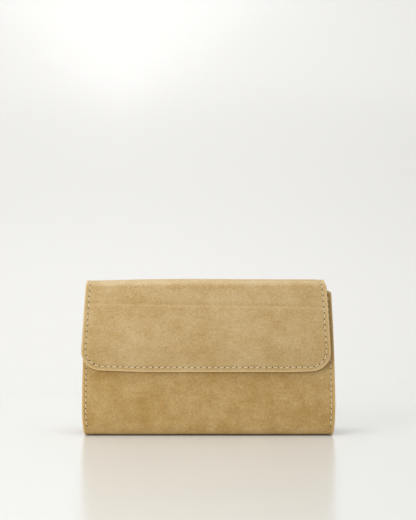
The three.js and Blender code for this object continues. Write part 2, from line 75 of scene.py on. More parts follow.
SUEDE = 0.0012
LINING = 0.0004
GAP = 0.0003
BODY_DEPTH = WRAP_HIGH.y - WRAP_LOW.y
FOOT_R = 0.009
HALF_WIDE = WRAP_HIGH.x
HALF_TOP = HALF_WIDE - 0.0020
HALF_FOOT = HALF_WIDE - 0.0024
WIDEST_Z = 0.030
FRONT_TOP_Z = FRONT_HIGH.z
FRONT_TOP_Y = 0.0064
BACK_TOP_Z = WRAP_HIGH.z
BACK_TOP_Y = 0.0088
PANEL_BULGE = 0.0008
FOLD_FILL = 0.0013
FOLD_LIFT = 0.0005
FLAP_X = (FLAP_LOW.x + FLAP_HIGH.x) / 2
FLAP_HALF_TOP = (TAIL_HIGH.x - TAIL_LOW.x) / 2
FLAP_HALF_LOW = FLAP_HALF_TOP + 0.0034
FLAP_LENGTH = 0.0711
FLAP_CORNER_R = 0.0175
FLAP_LEAN = math.radians(10.3)
FLAP_BOW = 0.0015
TAIL_FOOT_Z = TAIL_LOW.z
ROLL_R = 0.0104
ROLL_START_Z = 0.1216
ROLL_SINK = 0.0007
ROLL_DRAWN_LEFT, ROLL_DRAWN_RIGHT = 0.004, 0.017
EDGE_RISE = 0.0006
LEFT_CORNER_RISE, RIGHT_CORNER_RISE = 0.0015, 0.0007
EDGE_LAID_IN = 0.0013
SEAM_IN = 0.003
SEAM_FOOT_Z = 0.0085
TOP_SEAM_DROP = 0.003
TOP_SEAM_MARGIN = 0.0098
FLAP_SEAM_IN = 0.0037
TAIL_SEAM_IN = 0.003
GUSSET_T = 0.001
LINING_IN = 0.0068
LINING_UNDER = 0.0014
LINING_DROP = 0.0006
LINING_FOOT_Z = 0.0125
FRONT_LINING_DEPTH = 0.0031
BACK_LINING_DEPTH = 0.0039
ZIP_Z = 0.088
ZIP_WINDOW = 0.0043
ZIP_WINDOW_PAST = 0.004
POCKET_SEAM_OUT = 0.0018
SNAP_Z = 0.072
SNAP_R = 0.0070


# ------------------------------------------------------------------ what a user can change
class WalletFinish(bpy.types.PropertyGroup):
    suede_colour: bpy.props.FloatVectorProperty(
        name="Suede", description="Middle tone of the suede", subtype="COLOR",
        size=3, min=0, max=1, default=(0.560, 0.398, 0.190))
    lining_colour: bpy.props.FloatVectorProperty(
        name="Lining", description="Cotton lining", subtype="COLOR",
        size=3, min=0, max=1, default=(0.62, 0.52, 0.36))
    thread_colour: bpy.props.FloatVectorProperty(
        name="Thread", description="Waxed thread", subtype="COLOR",
        size=3, min=0, max=1, default=(0.80, 0.66, 0.41))
    metal_colour: bpy.props.FloatVectorProperty(
        name="Metal", description="Plating of the snap and the zip", subtype="COLOR",
        size=3, min=0, max=1, default=(0.80, 0.62, 0.34))
    mottle: bpy.props.FloatProperty(
        name="Mottle", description="Strength of the light and dark patches of the nap",
        min=0, max=1, default=0.5, subtype="FACTOR")


class WalletSewing(bpy.types.PropertyGroup):
    flap_stitch: bpy.props.FloatProperty(
        name="Flap stitch", description="Length of a stitch round the flap",
        default=0.0050, min=0.002, max=0.01, unit="LENGTH")
    side_stitch: bpy.props.FloatProperty(
        name="Side stitch", description="Length of a stitch down the sides",
        default=0.00476, min=0.002, max=0.01, unit="LENGTH")
    lining_stitch: bpy.props.FloatProperty(
        name="Lining stitch", description="Length of a stitch round the pocket",
        default=0.003, min=0.001, max=0.01, unit="LENGTH")
    thread_width: bpy.props.FloatProperty(
        name="Thread", description="Width of the thread",
        default=0.0008, min=0.0003, max=0.002, unit="LENGTH")
    groove: bpy.props.FloatProperty(
        name="Groove", description="How deep the stitching pulls into the suede",
        default=0.00035, min=0, max=0.001, unit="LENGTH")


class WalletStage(bpy.types.PropertyGroup):
    lens: bpy.props.FloatProperty(
        name="Lens", description="Focal length of the camera", default=85, min=20, max=200)
    eye_height: bpy.props.FloatProperty(
        name="Eye height", description="Height of the camera over the floor",
        default=0.1476, unit="LENGTH")
    frame_height: bpy.props.FloatProperty(
        name="Frame height", description="Height of the view where the flap hangs",
        default=0.4368, unit="LENGTH")
    paper_colour: bpy.props.FloatVectorProperty(
        name="Backdrop", description="Floor and backdrop", subtype="COLOR",
        size=3, min=0, max=1, default=(0.86, 0.861, 0.852))
    # Painted shade: the floor is set darker than the backdrop, where it gets less light.
    shaded_floor_colour: bpy.props.FloatVectorProperty(
        name="Floor", description="The paper in front of the wallet", subtype="COLOR",
        size=3, min=0, max=1, default=(0.765, 0.78, 0.765))


def finish():
    return bpy.context.scene.wallet_finish


def sewing():
    return bpy.context.scene.wallet_sewing


# ------------------------------------------------------------------ node trees as expressions
class Socket:
    """An output of a node, with arithmetic that adds Math nodes."""

    def __init__(self, tree, socket):
        self.tree = tree
        self.socket = socket

    def _math(self, operation, *values):
        return self.tree.node("ShaderNodeMath", {"operation": operation}, *values)

    def __add__(self, other):
        return self._math("ADD", self, other)

    __radd__ = __add__

    def __sub__(self, other):
        return self._math("SUBTRACT", self, other)

    def __rsub__(self, other):
        return self._math("SUBTRACT", other, self)

    def __mul__(self, other):
        return self._math("MULTIPLY", self, other)

    __rmul__ = __mul__

    def __truediv__(self, other):
        return self._math("DIVIDE", self, other)

    def __pow__(self, other):
        return self._math("POWER", self, other)

    def __abs__(self):
        return self._math("ABSOLUTE", self)

    def below(self, edge, soft):
        """1 well under edge and 0 well over it."""
        return self.tree.node(
            "ShaderNodeMapRange", {"interpolation_type": "SMOOTHSTEP", "clamp": True},
            self, edge - soft, edge + soft, 1.0, 0.0)


class Tree:
    """A shader or geometry tree. node() makes any node: its settings first, then its sockets."""

    def __init__(self, tree):
        self.tree = tree

    def node(self, kind, settings=None, *values, out=0, **named):
        made = self.tree.nodes.new(kind)
        for key, value in (settings or {}).items():
            if key == "stops":
                self._ramp(made, value)
            else:
                setattr(made, key, value)
        shown = [socket for socket in made.inputs if socket.enabled]
        for socket, value in zip(shown, values):
            self._feed(socket, value)
        for key, value in named.items():
            label = key.replace("_", " ").lower()
            found = [s for s in made.inputs if s.enabled and s.name.lower() == label]
            if not found:
                raise RuntimeError(f"{kind} has no socket {label}")
            self._feed(found[0], value)
        if isinstance(out, str):
            return Socket(self, made.outputs[out])
        return Socket(self, [s for s in made.outputs if s.enabled][out]) if made.outputs else made

    def _ramp(self, made, stops):
        ramp = made.color_ramp
        while len(ramp.elements) < len(stops):
            ramp.elements.new(0.5)
        for element, (place, shade) in zip(ramp.elements, stops):
            element.position = place
            element.color = (*shade, 1) if isinstance(shade, tuple) else (shade, shade, shade, 1)

    def _feed(self, socket, value):
        if value is None:
            return
        if isinstance(value, Socket):
            self.tree.links.new(value.socket, socket)
        elif isinstance(value, (list, tuple)) and any(isinstance(v, Socket) for v in value):
            for item in value:
                self.tree.links.new(item.socket, socket)
        else:
            if socket.type == "RGBA" and len(value) == 3:
                value = (*value, 1)
            socket.default_value = value


def shader(name):
    """A new material with its Principled node, and the tree that feeds it."""
    made = bpy.data.materials.new(name)
    made.use_nodes = True
    return made, Tree(made.node_tree), made.node_tree.nodes["Principled BSDF"]


def mix_colours(tree, factor, first, second, blend="MIX"):
    settings = {"data_type": "RGBA", "blend_type": blend, "clamp_factor": True}
    return tree.node("ShaderNodeMix", settings, factor, first, second)


def feed(tree, principled, name, value):
    tree.tree.links.new(value.socket, principled.inputs[name])


def shaded(colour, red, green, blue):
    factors = (red, green, blue)
    return tuple(min(1.0, channel * factor) for channel, factor in zip(colour, factors))


def tinted(colour, factor):
    return shaded(colour, factor, factor, factor)


def mapped(tree, place, move=(0, 0, 0), turn=(0, 0, 0), stretch=(1, 1, 1)):
    return tree.node("ShaderNodeMapping", {"vector_type": "POINT"}, place, move, turn, stretch)


def bumped(tree, strength, distance, height):
    return tree.node("ShaderNodeBump", {}, strength, distance, height=height)


# ------------------------------------------------------------------ materials
def sheet_uv(tree):
    return tree.node("ShaderNodeUVMap", {"uv_map": "sheet"})


def noise_on(tree, place, scale, detail=3.0, roughness=0.55):
    return tree.node("ShaderNodeTexNoise", {"noise_dimensions": "3D"},
                     place, scale, detail, roughness)


def attribute(tree, name):
    return tree.node("ShaderNodeAttribute", {"attribute_type": "GEOMETRY", "attribute_name": name},
                     out="Fac")


LAID_NAP = (0.87, 0.81, 0.65)
RAISED_NAP = (1.12, 1.18, 1.34)
# painted shade over the flap's crease
CREASE_SHADE = (0.72, 0.66, 0.55)
# painted highlight for the upward-facing flap
PAINTED_TOP_LIGHT = (1.08, 1.16, 1.37)
# the raw edge's paler colour with a painted highlight
PALE_AND_LIT_EDGE = (1.40, 1.43, 1.54)
CLOUDS, PATCHES, STROKES = 34, 85, 170
SPECKLES, GRAINS, FIBRES = 460, 1100, 3800


def suede_material(name, tint, seed, contrast):
    """Short brushed nap. Where it lies flat it is darker and browner, and where it stands up it is
    paler. Speckle and fibres lie over that, and the seams are pressed in and darker."""
    made, tree, principled = shader(name)
    colour = shaded(finish().suede_colour, *tint)
    mottle = finish().mottle * contrast
    here = mapped(tree, sheet_uv(tree), (seed, seed * 0.7, seed))
    brushed = mapped(tree, here, turn=(0, 0, 0.12), stretch=(0.5, 1, 1))
    cloud = noise_on(tree, here, CLOUDS, 3, 0.5)
    patch = noise_on(tree, here, PATCHES, 3, 0.55)
    strokes = noise_on(tree, brushed, STROKES, 3, 0.6)
    speckle = noise_on(tree, here, SPECKLES, 2, 0.6)
    grain = noise_on(tree, here, GRAINS, 3, 0.65)
    fibre = noise_on(tree, here, FIBRES, 2, 0.6)
    nap = 0.5 + mottle * ((cloud - 0.5) * 2.8 + (patch - 0.5) * 2.4 + (strokes - 0.5) * 1.2)
    base = mix_colours(tree, nap, shaded(colour, *LAID_NAP), shaded(colour, *RAISED_NAP))
    depth = 1.0 + (speckle - 0.5) * 0.56 + (grain - 0.5) * 0.85 + (fibre - 0.5) * 0.35
    base = mix_colours(tree, 1.0, base, depth, "MULTIPLY")
    seam = attribute(tree, "seam")
    near_seam = seam.below(0.0007, 0.0008)
    base = mix_colours(tree, near_seam * 0.2, base, tinted(colour, 0.60))
    # Painted shade in an uneven band over the flap's crease and a painted highlight in a thin line
    # under it; the crease's dent is also in the flap's shape.
    crease = attribute(tree, "crease")
    uneven = noise_on(tree, here, 30, 2, 0.5).below(0.5, 0.16)
    above = abs(crease + 0.0013).below(0.0009, 0.0014) * (0.35 + uneven * 0.65)
    under = abs(crease - 0.0011).below(0.0004, 0.0010) * (1.0 - uneven * 0.7)
    base = mix_colours(tree, above * 0.34, base, shaded(colour, *CREASE_SHADE))
    base = mix_colours(tree, under * 0.34, base, tinted(colour, 1.3))
    # Painted highlight: where the flap faces upward, over its roll, it is made paler and less
    # saturated, as if lit from above.
    base = mix_colours(tree, attribute(tree, "rub"), base, PAINTED_TOP_LIGHT, "MULTIPLY")
    # The raw cut edge is paler, and a painted highlight lies along it where the rounded edge
    # catches the light.
    edge = attribute(tree, "edge").below(0.0010, 0.0007)
    base = mix_colours(tree, edge * 0.8, base, shaded(colour, *PALE_AND_LIT_EDGE))
    feed(tree, principled, "Base Color", base)
    feed(tree, principled, "Roughness", 0.86 + grain * 0.14)
    principled.inputs["Specular IOR Level"].default_value = 0.15
    principled.inputs["Sheen Weight"].default_value = 0.22
    principled.inputs["Sheen Roughness"].default_value = 0.5
    principled.inputs["Sheen Tint"].default_value = (1.0, 0.9, 0.74, 1)
    height = grain * 0.5 + fibre * 0.3 + speckle * 0.5 + strokes * 0.3
    feed(tree, principled, "Normal", bumped(tree, 0.6, 0.0006, height))
    return made


def cut_edge_material():
    """The raw cut side of the suede, paler and coarser than its face."""
    made, tree, principled = shader("suede_cut_edge")
    colour = finish().suede_colour
    fuzz = noise_on(tree, sheet_uv(tree), 1500, 3, 0.7)
    base = mix_colours(tree, fuzz, tinted(colour, 0.95), tinted(colour, 1.42))
    feed(tree, principled, "Base Color", base)
    feed(tree, principled, "Roughness", 0.9 + fuzz * 0.1)
    principled.inputs["Specular IOR Level"].default_value = 0.15
    feed(tree, principled, "Normal", bumped(tree, 0.6, 0.0003, fuzz))
    return made


def woven_material(name, colour, threads_per_metre, contrast=0.16):
    """Plain weave: two crossed waves, each thread shaded along its middle."""
    made, tree, principled = shader(name)
    place = sheet_uv(tree)
    split = tree.tree.nodes.new("ShaderNodeSeparateXYZ")
    tree.tree.links.new(place.socket, split.inputs[0])
    across = Socket(tree, split.outputs[0])
    along = Socket(tree, split.outputs[1])
    turn = threads_per_metre * math.pi
    warp = abs(tree.node("ShaderNodeMath", {"operation": "SINE"}, across * turn))
    weft = abs(tree.node("ShaderNodeMath", {"operation": "SINE"}, along * turn))
    check = tree.node("ShaderNodeTexChecker", {}, place, scale=threads_per_metre,
                      color1=(1, 1, 1), color2=(0, 0, 0), out="Fac")
    weave = tree.node("ShaderNodeMix", {"data_type": "FLOAT"}, check, warp, weft)
    slub = noise_on(tree, place, 300, 3, 0.6)
    value = weave * 0.6 + slub * 0.4
    base = mix_colours(tree, value, tinted(colour, 1 - contrast), tinted(colour, 1 + contrast))
    feed(tree, principled, "Base Color", base)
    feed(tree, principled, "Roughness", 0.78 + slub * 0.2)
    principled.inputs["Specular IOR Level"].default_value = 0.25
    principled.inputs["Sheen Weight"].default_value = 0.15
    feed(tree, principled, "Normal", bumped(tree, 0.5, 0.00025, weave))
    return made


def thread_material():
    """Waxed two-ply thread: slanting plies and a faint fuzz."""
    made, tree, principled = shader("waxed_thread")
    colour = finish().thread_colour
    place = tree.node("ShaderNodeTexCoord", {}, out="Object")
    ply = tree.node("ShaderNodeTexWave", {"wave_type": "BANDS", "bands_direction": "DIAGONAL"},
                    place, 520, 0.4, 1.0, out="Fac")
    fuzz = noise_on(tree, place, 1800, 2, 0.6)
    base = mix_colours(tree, ply * 0.6 + fuzz * 0.4, tinted(colour, 0.80), tinted(colour, 1.16))
    feed(tree, principled, "Base Color", base)
    feed(tree, principled, "Roughness", 0.55 + fuzz * 0.25)
    principled.inputs["Specular IOR Level"].default_value = 0.35
    feed(tree, principled, "Normal", bumped(tree, 0.6, 0.0002, ply))
    return made


def hole_shade_material():
    """Painted shade: the suede's colour made very dark, standing in for the shadow down a needle
    hole.
    """
    made, tree, principled = shader("needle_hole_shade")
    place = tree.node("ShaderNodeTexCoord", {}, out="Object")
    fuzz = noise_on(tree, place, 2400, 2, 0.6)
    colour = finish().suede_colour
    base = mix_colours(tree, fuzz, tinted(colour, 0.13), tinted(colour, 0.34))
    feed(tree, principled, "Base Color", base)
    feed(tree, principled, "Roughness", 0.9 + fuzz * 0.1)
    principled.inputs["Specular IOR Level"].default_value = 0.1
    return made


def metal_material(name, colour, roughness):
    """Plated metal with fine polishing lines and handling marks."""
    made, tree, principled = shader(name)
    place = tree.node("ShaderNodeTexCoord", {}, out="Object")
    marks = noise_on(tree, place, 700, 4, 0.65)
    lines = noise_on(tree, mapped(tree, place, stretch=(0.08, 1, 1)), 4200, 2, 0.5)
    base = mix_colours(tree, marks, tinted(colour, 0.86), tinted(colour, 1.08))
    feed(tree, principled, "Base Color", base)
    feed(tree, principled, "Roughness", roughness + marks * 0.14 + lines * 0.08)
    principled.inputs["Metallic"].default_value = 1.0
    feed(tree, principled, "Normal", bumped(tree, 0.12, 0.0001, lines + marks))
    return made


def board_material():
    """Pressed pulp board."""
    made, tree, principled = shader("stiffening_board")
    place = tree.node("ShaderNodeTexCoord", {}, out="Object")
    pulp = noise_on(tree, place, 500, 5, 0.7)
    colour = (0.30, 0.23, 0.14)
    base = mix_colours(tree, pulp, tinted(colour, 0.8), tinted(colour, 1.2))
    feed(tree, principled, "Base Color", base)
    feed(tree, principled, "Roughness", 0.85 + pulp * 0.12)
    feed(tree, principled, "Normal", bumped(tree, 0.3, 0.0002, pulp))
    return made


def paper_material():
    """Satin paper, darker towards the front than where it hangs: painted shade where the floor gets
    less light than the backdrop.
    """
    made, tree, principled = shader("stage_paper")
    place = tree.node("ShaderNodeTexCoord", {}, out="Object")
    split = tree.tree.nodes.new("ShaderNodeSeparateXYZ")
    tree.tree.links.new(place.socket, split.inputs[0])
    flat = Socket(tree, split.outputs[1]).below(0.3, 0.4)
    settings = bpy.context.scene.wallet_stage
    # painted shade on the floor in front
    base = mix_colours(tree, flat, tuple(settings.paper_colour), tuple(settings.shaded_floor_colour))
    feed(tree, principled, "Base Color", base)
    principled.inputs["Roughness"].default_value = 0.22
    principled.inputs["Specular IOR Level"].default_value = 0.68
    return made


MATERIALS = {}


def material(key):
    """Each finish is made once, when a piece first asks for it."""
    makers = {
        "suede": lambda: suede_material("suede_flap", (0.96, 0.948, 0.93), 0.0, 0.86),
        # The body's suede is darker and more saturated than the flap's: partly its own nap, partly
        # painted shade under the flap.
        "body": lambda: suede_material("suede_body_nap_and_shade", (0.865, 0.80, 0.655), 0.53, 1.18),
        "gusset": lambda: suede_material("suede_gusset", (0.85, 0.785, 0.66), 0.31, 1.0),
        "edge": cut_edge_material,
        "lining": lambda: woven_material("cotton_lining", finish().lining_colour, 1700),
        "tape": lambda: woven_material("zip_tape", tinted(finish().suede_colour, 0.85), 1300, 0.25),
        "thread": thread_material,
        "hole": hole_shade_material,
        "metal": lambda: metal_material("pale_gold_plating", finish().metal_colour, 0.22),
        "steel": lambda: metal_material("plain_steel", (0.50, 0.50, 0.51), 0.35),
        "board": board_material,
        "paper": paper_material,
    }
    if key not in MATERIALS:
        MATERIALS[key] = makers[key]()
    return MATERIALS[key]


# ------------------------------------------------------------------ the section of the wallet
def smooth(value):
    value = np.clip(value, 0, 1)
    return value * value * (3 - 2 * value)


def body_half(z):
    """Half of the body's width at a height."""
    z = np.maximum(z, 0)
    high = HALF_WIDE - (HALF_WIDE - HALF_TOP) * ((z - WIDEST_Z) / (BACK_TOP_Z - WIDEST_Z)) ** 2
    low = HALF_WIDE - (HALF_WIDE - HALF_FOOT) * (np.maximum(WIDEST_Z - z, 0) / WIDEST_Z) ** 2.5
    return np.where(z > WIDEST_Z, high, low)


def stood(points):
    """The wallet's weight fills out its two lower folds. It stands on the middle of its base, and
    the folds stay just off the floor."""
    points = np.array(points, float)
    y, z = points[..., 1].copy(), points[..., 2].copy()
    out = np.abs(y) - (BODY_DEPTH / 2 - FOOT_R)
    down = FOOT_R - z
    turn = np.arctan2(down, out)
    push = np.where((out > 0) & (down > 0), FOLD_FILL * np.sin(2 * turn) ** 2, 0)
    points[..., 1] += np.sign(y) * push * np.cos(turn)
    points[..., 2] -= push * np.sin(turn)
    lift = smooth((np.abs(y) - 0.006) / 0.008) * (1 - smooth(z / 0.008))
    points[..., 2] += FOLD_LIFT * lift
    return points


class Panel:
    """The outer face of the front (side -1) or the back (side 1), as points of the YZ plane."""

    def __init__(self, side, top_y, top_z):
        self.side = side
        self.top_y = top_y
        self.top_z = top_z
        self.centre_y = BODY_DEPTH / 2 - FOOT_R
        chord = math.atan2(BODY_DEPTH / 2 - top_y, top_z - FOOT_R)
        self.foot_lean = chord - math.atan2(4 * PANEL_BULGE, top_z - FOOT_R)
        self.foot_y = self.centre_y + FOOT_R * math.cos(self.foot_lean)
        self.foot_z = FOOT_R + FOOT_R * math.sin(self.foot_lean)

    def face_y(self, z):
        t = (z - self.foot_z) / (self.top_z - self.foot_z)
        return self.foot_y + (self.top_y - self.foot_y) * t + 4 * PANEL_BULGE * t * (1 - t)

    def at(self, z):
        step = 0.0005
        lean = math.atan2(self.face_y(z - step) - self.face_y(z + step), 2 * step)
        return np.array([self.side * self.face_y(z), z, self.side * math.cos(lean), math.sin(lean)])

    def corner(self, angle):
        y = self.centre_y + FOOT_R * math.cos(angle)
        z = FOOT_R + FOOT_R * math.sin(angle)
        return np.array([self.side * y, z, self.side * math.cos(angle), math.sin(angle)])

    def inner_half_depth(self, z, depth):
        """From the middle plane to the face that lies depth inside the outer one."""
        if z < self.foot_z:
            drop = (FOOT_R - depth) ** 2 - (FOOT_R - z) ** 2
            return self.centre_y + math.sqrt(max(drop, 0))
        place = self.at(z)
        return abs(place[0]) - depth


FRONT = Panel(-1, FRONT_TOP_Y, FRONT_TOP_Z)
BACK = Panel(1, BACK_TOP_Y, BACK_TOP_Z)


ROW_STEP = 0.0013


def fold_and_panel(panel, high):
    """Stations from the edge of the base, round the fold and up the panel."""
    turns = np.linspace(-math.pi / 2, panel.foot_lean, 13)
    levels = np.linspace(panel.foot_z, high, int((high - panel.foot_z) / ROW_STEP))[1:]
    return np.array([panel.corner(a) for a in turns] + [panel.at(z) for z in levels])


def set_in(x, station, depth):
    """The point that lies depth inside a station's face, at x across the wallet."""
    y, z, out_y, out_z = station
    return Vector((x, y - out_y * depth, z - out_z * depth))


def facing(station):
    return Vector((0, station[2], station[3]))


def lengths_along(stations):
    steps = np.hypot(*np.diff(stations[:, :2], axis=0).T)
    return np.concatenate([[0], np.cumsum(steps)])


TAIL_OUT = SUEDE + GAP
ROLL_START = BACK.at(ROLL_START_Z)
ROLL_START_ANGLE = math.atan2(ROLL_START[3], ROLL_START[2])
ROLL_END_ANGLE = math.pi - FLAP_LEAN - math.atan2(4 * FLAP_BOW, FLAP_LENGTH)
ROLL_Y = ROLL_START[0] + (TAIL_OUT - ROLL_R) * ROLL_START[2]
ROLL_Z = ROLL_START[1] + (TAIL_OUT - ROLL_R) * ROLL_START[3]


def roll_station(angle):
    y = ROLL_Y + ROLL_R * math.cos(angle)
    z = ROLL_Z + ROLL_R * math.sin(angle)
    return np.array([y, z, math.cos(angle), math.sin(angle)])


FLAP_TOP = roll_station(ROLL_END_ANGLE)


def flap_station(down):
    t = down / FLAP_LENGTH
    bow = 4 * FLAP_BOW * t * (1 - t)
    angle = math.pi - FLAP_LEAN - math.atan2(4 * FLAP_BOW * (1 - 2 * t), FLAP_LENGTH)
    y = FLAP_TOP[0] - down * math.sin(FLAP_LEAN) - bow * math.cos(FLAP_LEAN)
    z = FLAP_TOP[1] - down * math.cos(FLAP_LEAN) + bow * math.sin(FLAP_LEAN)
    return np.array([y, z, math.cos(angle), math.sin(angle)])


def settled(points):
    """The flap's points as it has settled: its roll sinks at the left end and draws in at both,
    and its lower edge lies in towards the front and rises a little at its corners."""
    points = np.array(points, float)
    x, y, z = points[..., 0] - FLAP_X, points[..., 1].copy(), points[..., 2].copy()
    fore = y < FLAP_TOP[0]
    sunk = ROLL_SINK * smooth((-x - 0.036) / 0.066) * smooth((z - 0.1195) / 0.0108)
    hang = np.where(fore, np.clip((FLAP_TOP[1] - z) / FLAP_LENGTH, 0, 1) ** 2, 0)
    corners = (LEFT_CORNER_RISE * smooth((-x - 0.045) / 0.055)
               + RIGHT_CORNER_RISE * smooth((x - 0.065) / 0.035))
    risen = hang * (EDGE_RISE + corners)
    laid = np.where(fore, EDGE_LAID_IN * smooth((FLAP_TOP[1] - 0.0475 - z) / 0.023), 0)
    drawn = np.where(x > 0, ROLL_DRAWN_RIGHT, ROLL_DRAWN_LEFT)
    points[..., 0] -= x * drawn * smooth((z - 0.1215) / 0.009) ** 2
    points[..., 1] += risen * math.sin(FLAP_LEAN) + laid
    points[..., 2] += risen * math.cos(FLAP_LEAN) - sunk
    return points


def tail_station(z):
    y, z, out_y, out_z = BACK.at(z)
    return np.array([y + TAIL_OUT * out_y, z + TAIL_OUT * out_z, out_y, out_z])


def flap_half(down, margin=0.0):
    """Half of the flap's width, with its rounded lower corners."""
    straight = FLAP_HALF_TOP + (FLAP_HALF_LOW - FLAP_HALF_TOP) * max(down, 0) / FLAP_LENGTH - margin
    radius = FLAP_CORNER_R - margin
    past = down - (FLAP_LENGTH - margin - radius)
    if past <= 0:
        return straight
    return straight - radius + math.sqrt(max(radius ** 2 - past ** 2, 0))


FOLDS = 3
FOLD_TURN = (ROLL_END_ANGLE - ROLL_START_ANGLE) / FOLDS
FOLD_LENGTH = ROLL_R * FOLD_TURN
FOLDED = 0.7


def roll_stations(count):
    """Round the roll, which bends more at its three fold lines than between them."""
    place = np.linspace(0, FOLDS, count)
    whole = np.floor(place)
    t = place - whole
    folded = whole + smooth(t) + (t - 0.5) * 6 * t * (1 - t)
    angle = ROLL_START_ANGLE + FOLD_TURN * (place + (folded - place) * FOLDED)
    middle = (angle[1:] + angle[:-1]) / 2
    steps = np.stack([-np.sin(middle), np.cos(middle)], 1) * FOLD_LENGTH * FOLDS / (count - 1)
    first, last = roll_station(ROLL_START_ANGLE)[:2], roll_station(ROLL_END_ANGLE)[:2]
    line = np.concatenate([[first], first + np.cumsum(steps, axis=0)])
    line = line + (last - line[-1]) * (place / FOLDS)[:, None]
    return np.column_stack([line, np.cos(angle), np.sin(angle)])


# ------------------------------------------------------------------ sheets of suede and cloth
def grid_points(stations, halves, columns, middle=0.0):
    """One row of points across the wallet at each station. columns run from -1 to 1."""
    rows = []
    for place, half in zip(stations, halves):
        row = np.empty((len(columns), 3))
        row[:, 0] = middle + np.asarray(columns) * half
        row[:, 1] = place[0]
        row[:, 2] = place[1]
        rows.append(row)
    return np.array(rows)


def station_normals(flat, stations):
    """The outward direction of each row's station, at every point of a grid."""
    normal = np.zeros_like(flat)
    normal[:, :, 1:] = stations[:, None, 2:]
    return normal


def grid_normals(points):
    """The grid's own normal at each point, by the steps to its neighbours."""
    down = np.gradient(points, axis=0)
    across = np.gradient(points, axis=1)
    normals = np.cross(down, across)
    return normals / np.maximum(np.linalg.norm(normals, axis=2, keepdims=True), 1e-12)


def rippled(points, amount, size, seed):
    """A slow unevenness, such as soft suede keeps from being made and handled."""
    flat = points.reshape(-1, 3)
    waves = [noise.noise(Vector(p) / size + Vector((seed, 0, 0))) for p in flat]
    return amount * np.array(waves).reshape(points.shape[:2])


CUT_EDGE = 0.0003
EDGE_BULGE = 0.25
PLAIN_MAPS = {"edge": 1.0, "seam": 1.0, "crease": 1.0, "rub": 0.0}


def linked(name, mesh):
    made = bpy.data.objects.new(name, mesh)
    bpy.context.scene.collection.objects.link(made)
    return made


def closed_sheet(name, outer, inner, maps, slots=("suede", "edge", "suede"), keep=None,
                 joins=False):
    """A closed mesh between two grids of points. maps holds a value at each point for each
    attribute, and "u" and "v" for the texture. keep marks the cells that exist. Where joins is
    set, a border away from the cut edge meets the next sheet flush, with no rounding."""
    rows, columns = outer.shape[:2]
    keep = np.ones((rows - 1, columns - 1), bool) if keep is None else keep
    count = rows * columns
    outer, inner = outer.reshape(-1, 3), inner.reshape(-1, 3)
    verts = [*outer, *inner]
    source = list(range(count)) * 2
    faces, kinds = [], []
    border = {}
    for i, j in zip(*np.nonzero(keep)):
        a = i * columns + j
        b, c, d = a + 1, a + columns + 1, a + columns
        faces.append((a, b, c, d))
        kinds.append(0)
        faces.append((a + count, d + count, c + count, b + count))
        kinds.append(2)
        for edge in ((a, b), (b, c), (c, d), (d, a)):
            if (edge[1], edge[0]) in border:
                del border[(edge[1], edge[0])]
            else:
                border[edge] = True
    outward = {}
    flush = []
    for (a, b) in border:
        outward.setdefault(a, np.zeros(3))
        outward.setdefault(b, np.zeros(3))
        if joins and max(maps["edge"].flat[a], maps["edge"].flat[b]) > CUT_EDGE:
            flush.append((a, b))
            continue
        side = np.cross(outer[b] - outer[a], inner[a] - outer[a])
        side = side / max(np.linalg.norm(side), 1e-12)
        outward[a] = outward[a] + side
        outward[b] = outward[b] + side
    rings = {}
    for k, side in outward.items():
        side = side / max(np.linalg.norm(side), 1e-12)
        top, low = verts[k], verts[k + count]
        thick = np.linalg.norm(low - top)
        made = []
        for share in (0.25, 0.75):
            made.append(len(verts))
            verts.append(top + (low - top) * share - side * thick * EDGE_BULGE)
            source.append(k)
        rings[k] = (k, *made, k + count)
    for (a, b) in border:
        near, far = rings[a], rings[b]
        for k in range(3):
            faces.append((far[k], near[k], near[k + 1], far[k + 1]))
            kinds.append(1)
    verts = np.array(verts)
    mesh = bpy.data.meshes.new(name)
    used = np.unique([v for face in faces for v in face])
    renumber = np.full(len(verts), -1)
    renumber[used] = np.arange(len(used))
    faces = [tuple(int(renumber[v]) for v in face) for face in faces]
    verts = verts[used]
    source = np.array(source)[used]
    if signed_volume(verts, faces) < 0:
        faces = [face[::-1] for face in faces]
    mesh.from_pydata(verts.tolist(), [], faces)
    for key in slots:
        mesh.materials.append(material(key))
    mesh.polygons.foreach_set("material_index", kinds)
    mesh.polygons.foreach_set("use_smooth", [True] * len(faces))
    sharp = {frozenset((int(renumber[a + face]), int(renumber[b + face])))
             for a, b in flush for face in (0, count)}
    for edge in mesh.edges:
        edge.use_edge_sharp = frozenset(edge.vertices) in sharp
    for key, plain in PLAIN_MAPS.items():
        values = maps[key].reshape(-1) if key in maps else np.full(count, plain)
        layer = mesh.attributes.new(key, "FLOAT", "POINT")
        layer.data.foreach_set("value", values[source].astype(np.float32))
    uv = mesh.uv_layers.new(name="sheet")
    loops = np.empty(len(mesh.loops), int)
    mesh.loops.foreach_get("vertex_index", loops)
    texture = np.stack([maps["u"].reshape(-1)[source], maps["v"].reshape(-1)[source]], 1)
    uv.data.foreach_set("uv", texture[loops].reshape(-1).astype(np.float32))
    mesh.validate()
    return linked(name, mesh)


def signed_volume(verts, faces):
    total = 0.0
    for face in faces:
        a = verts[face[0]]
        for k in range(1, len(face) - 1):
            total += np.dot(a, np.cross(verts[face[k]], verts[face[k + 1]]))
    return total


COLUMN_STEP = 0.0016
RIM_MM = (8, 7.2, 6.4, 5.7, 5.1, 4.6, 4.2, 3.9, 3.6, 3.3, 3.0, 2.7, 2.4, 2.0, 1.5, 1.0, 0.5, 0.0)


def spaced(half):
    """Columns from -1 to 1, closer together beside the edges, where the seams are."""
    count = int(half / COLUMN_STEP)
    inner = np.linspace(0, 1 - RIM_MM[0] * 0.001 / half, count)[:-1]
    rim = 1 - np.array(RIM_MM) * 0.001 / half
    one_side = np.concatenate([inner, rim])
    return np.concatenate([-one_side[:0:-1], one_side])


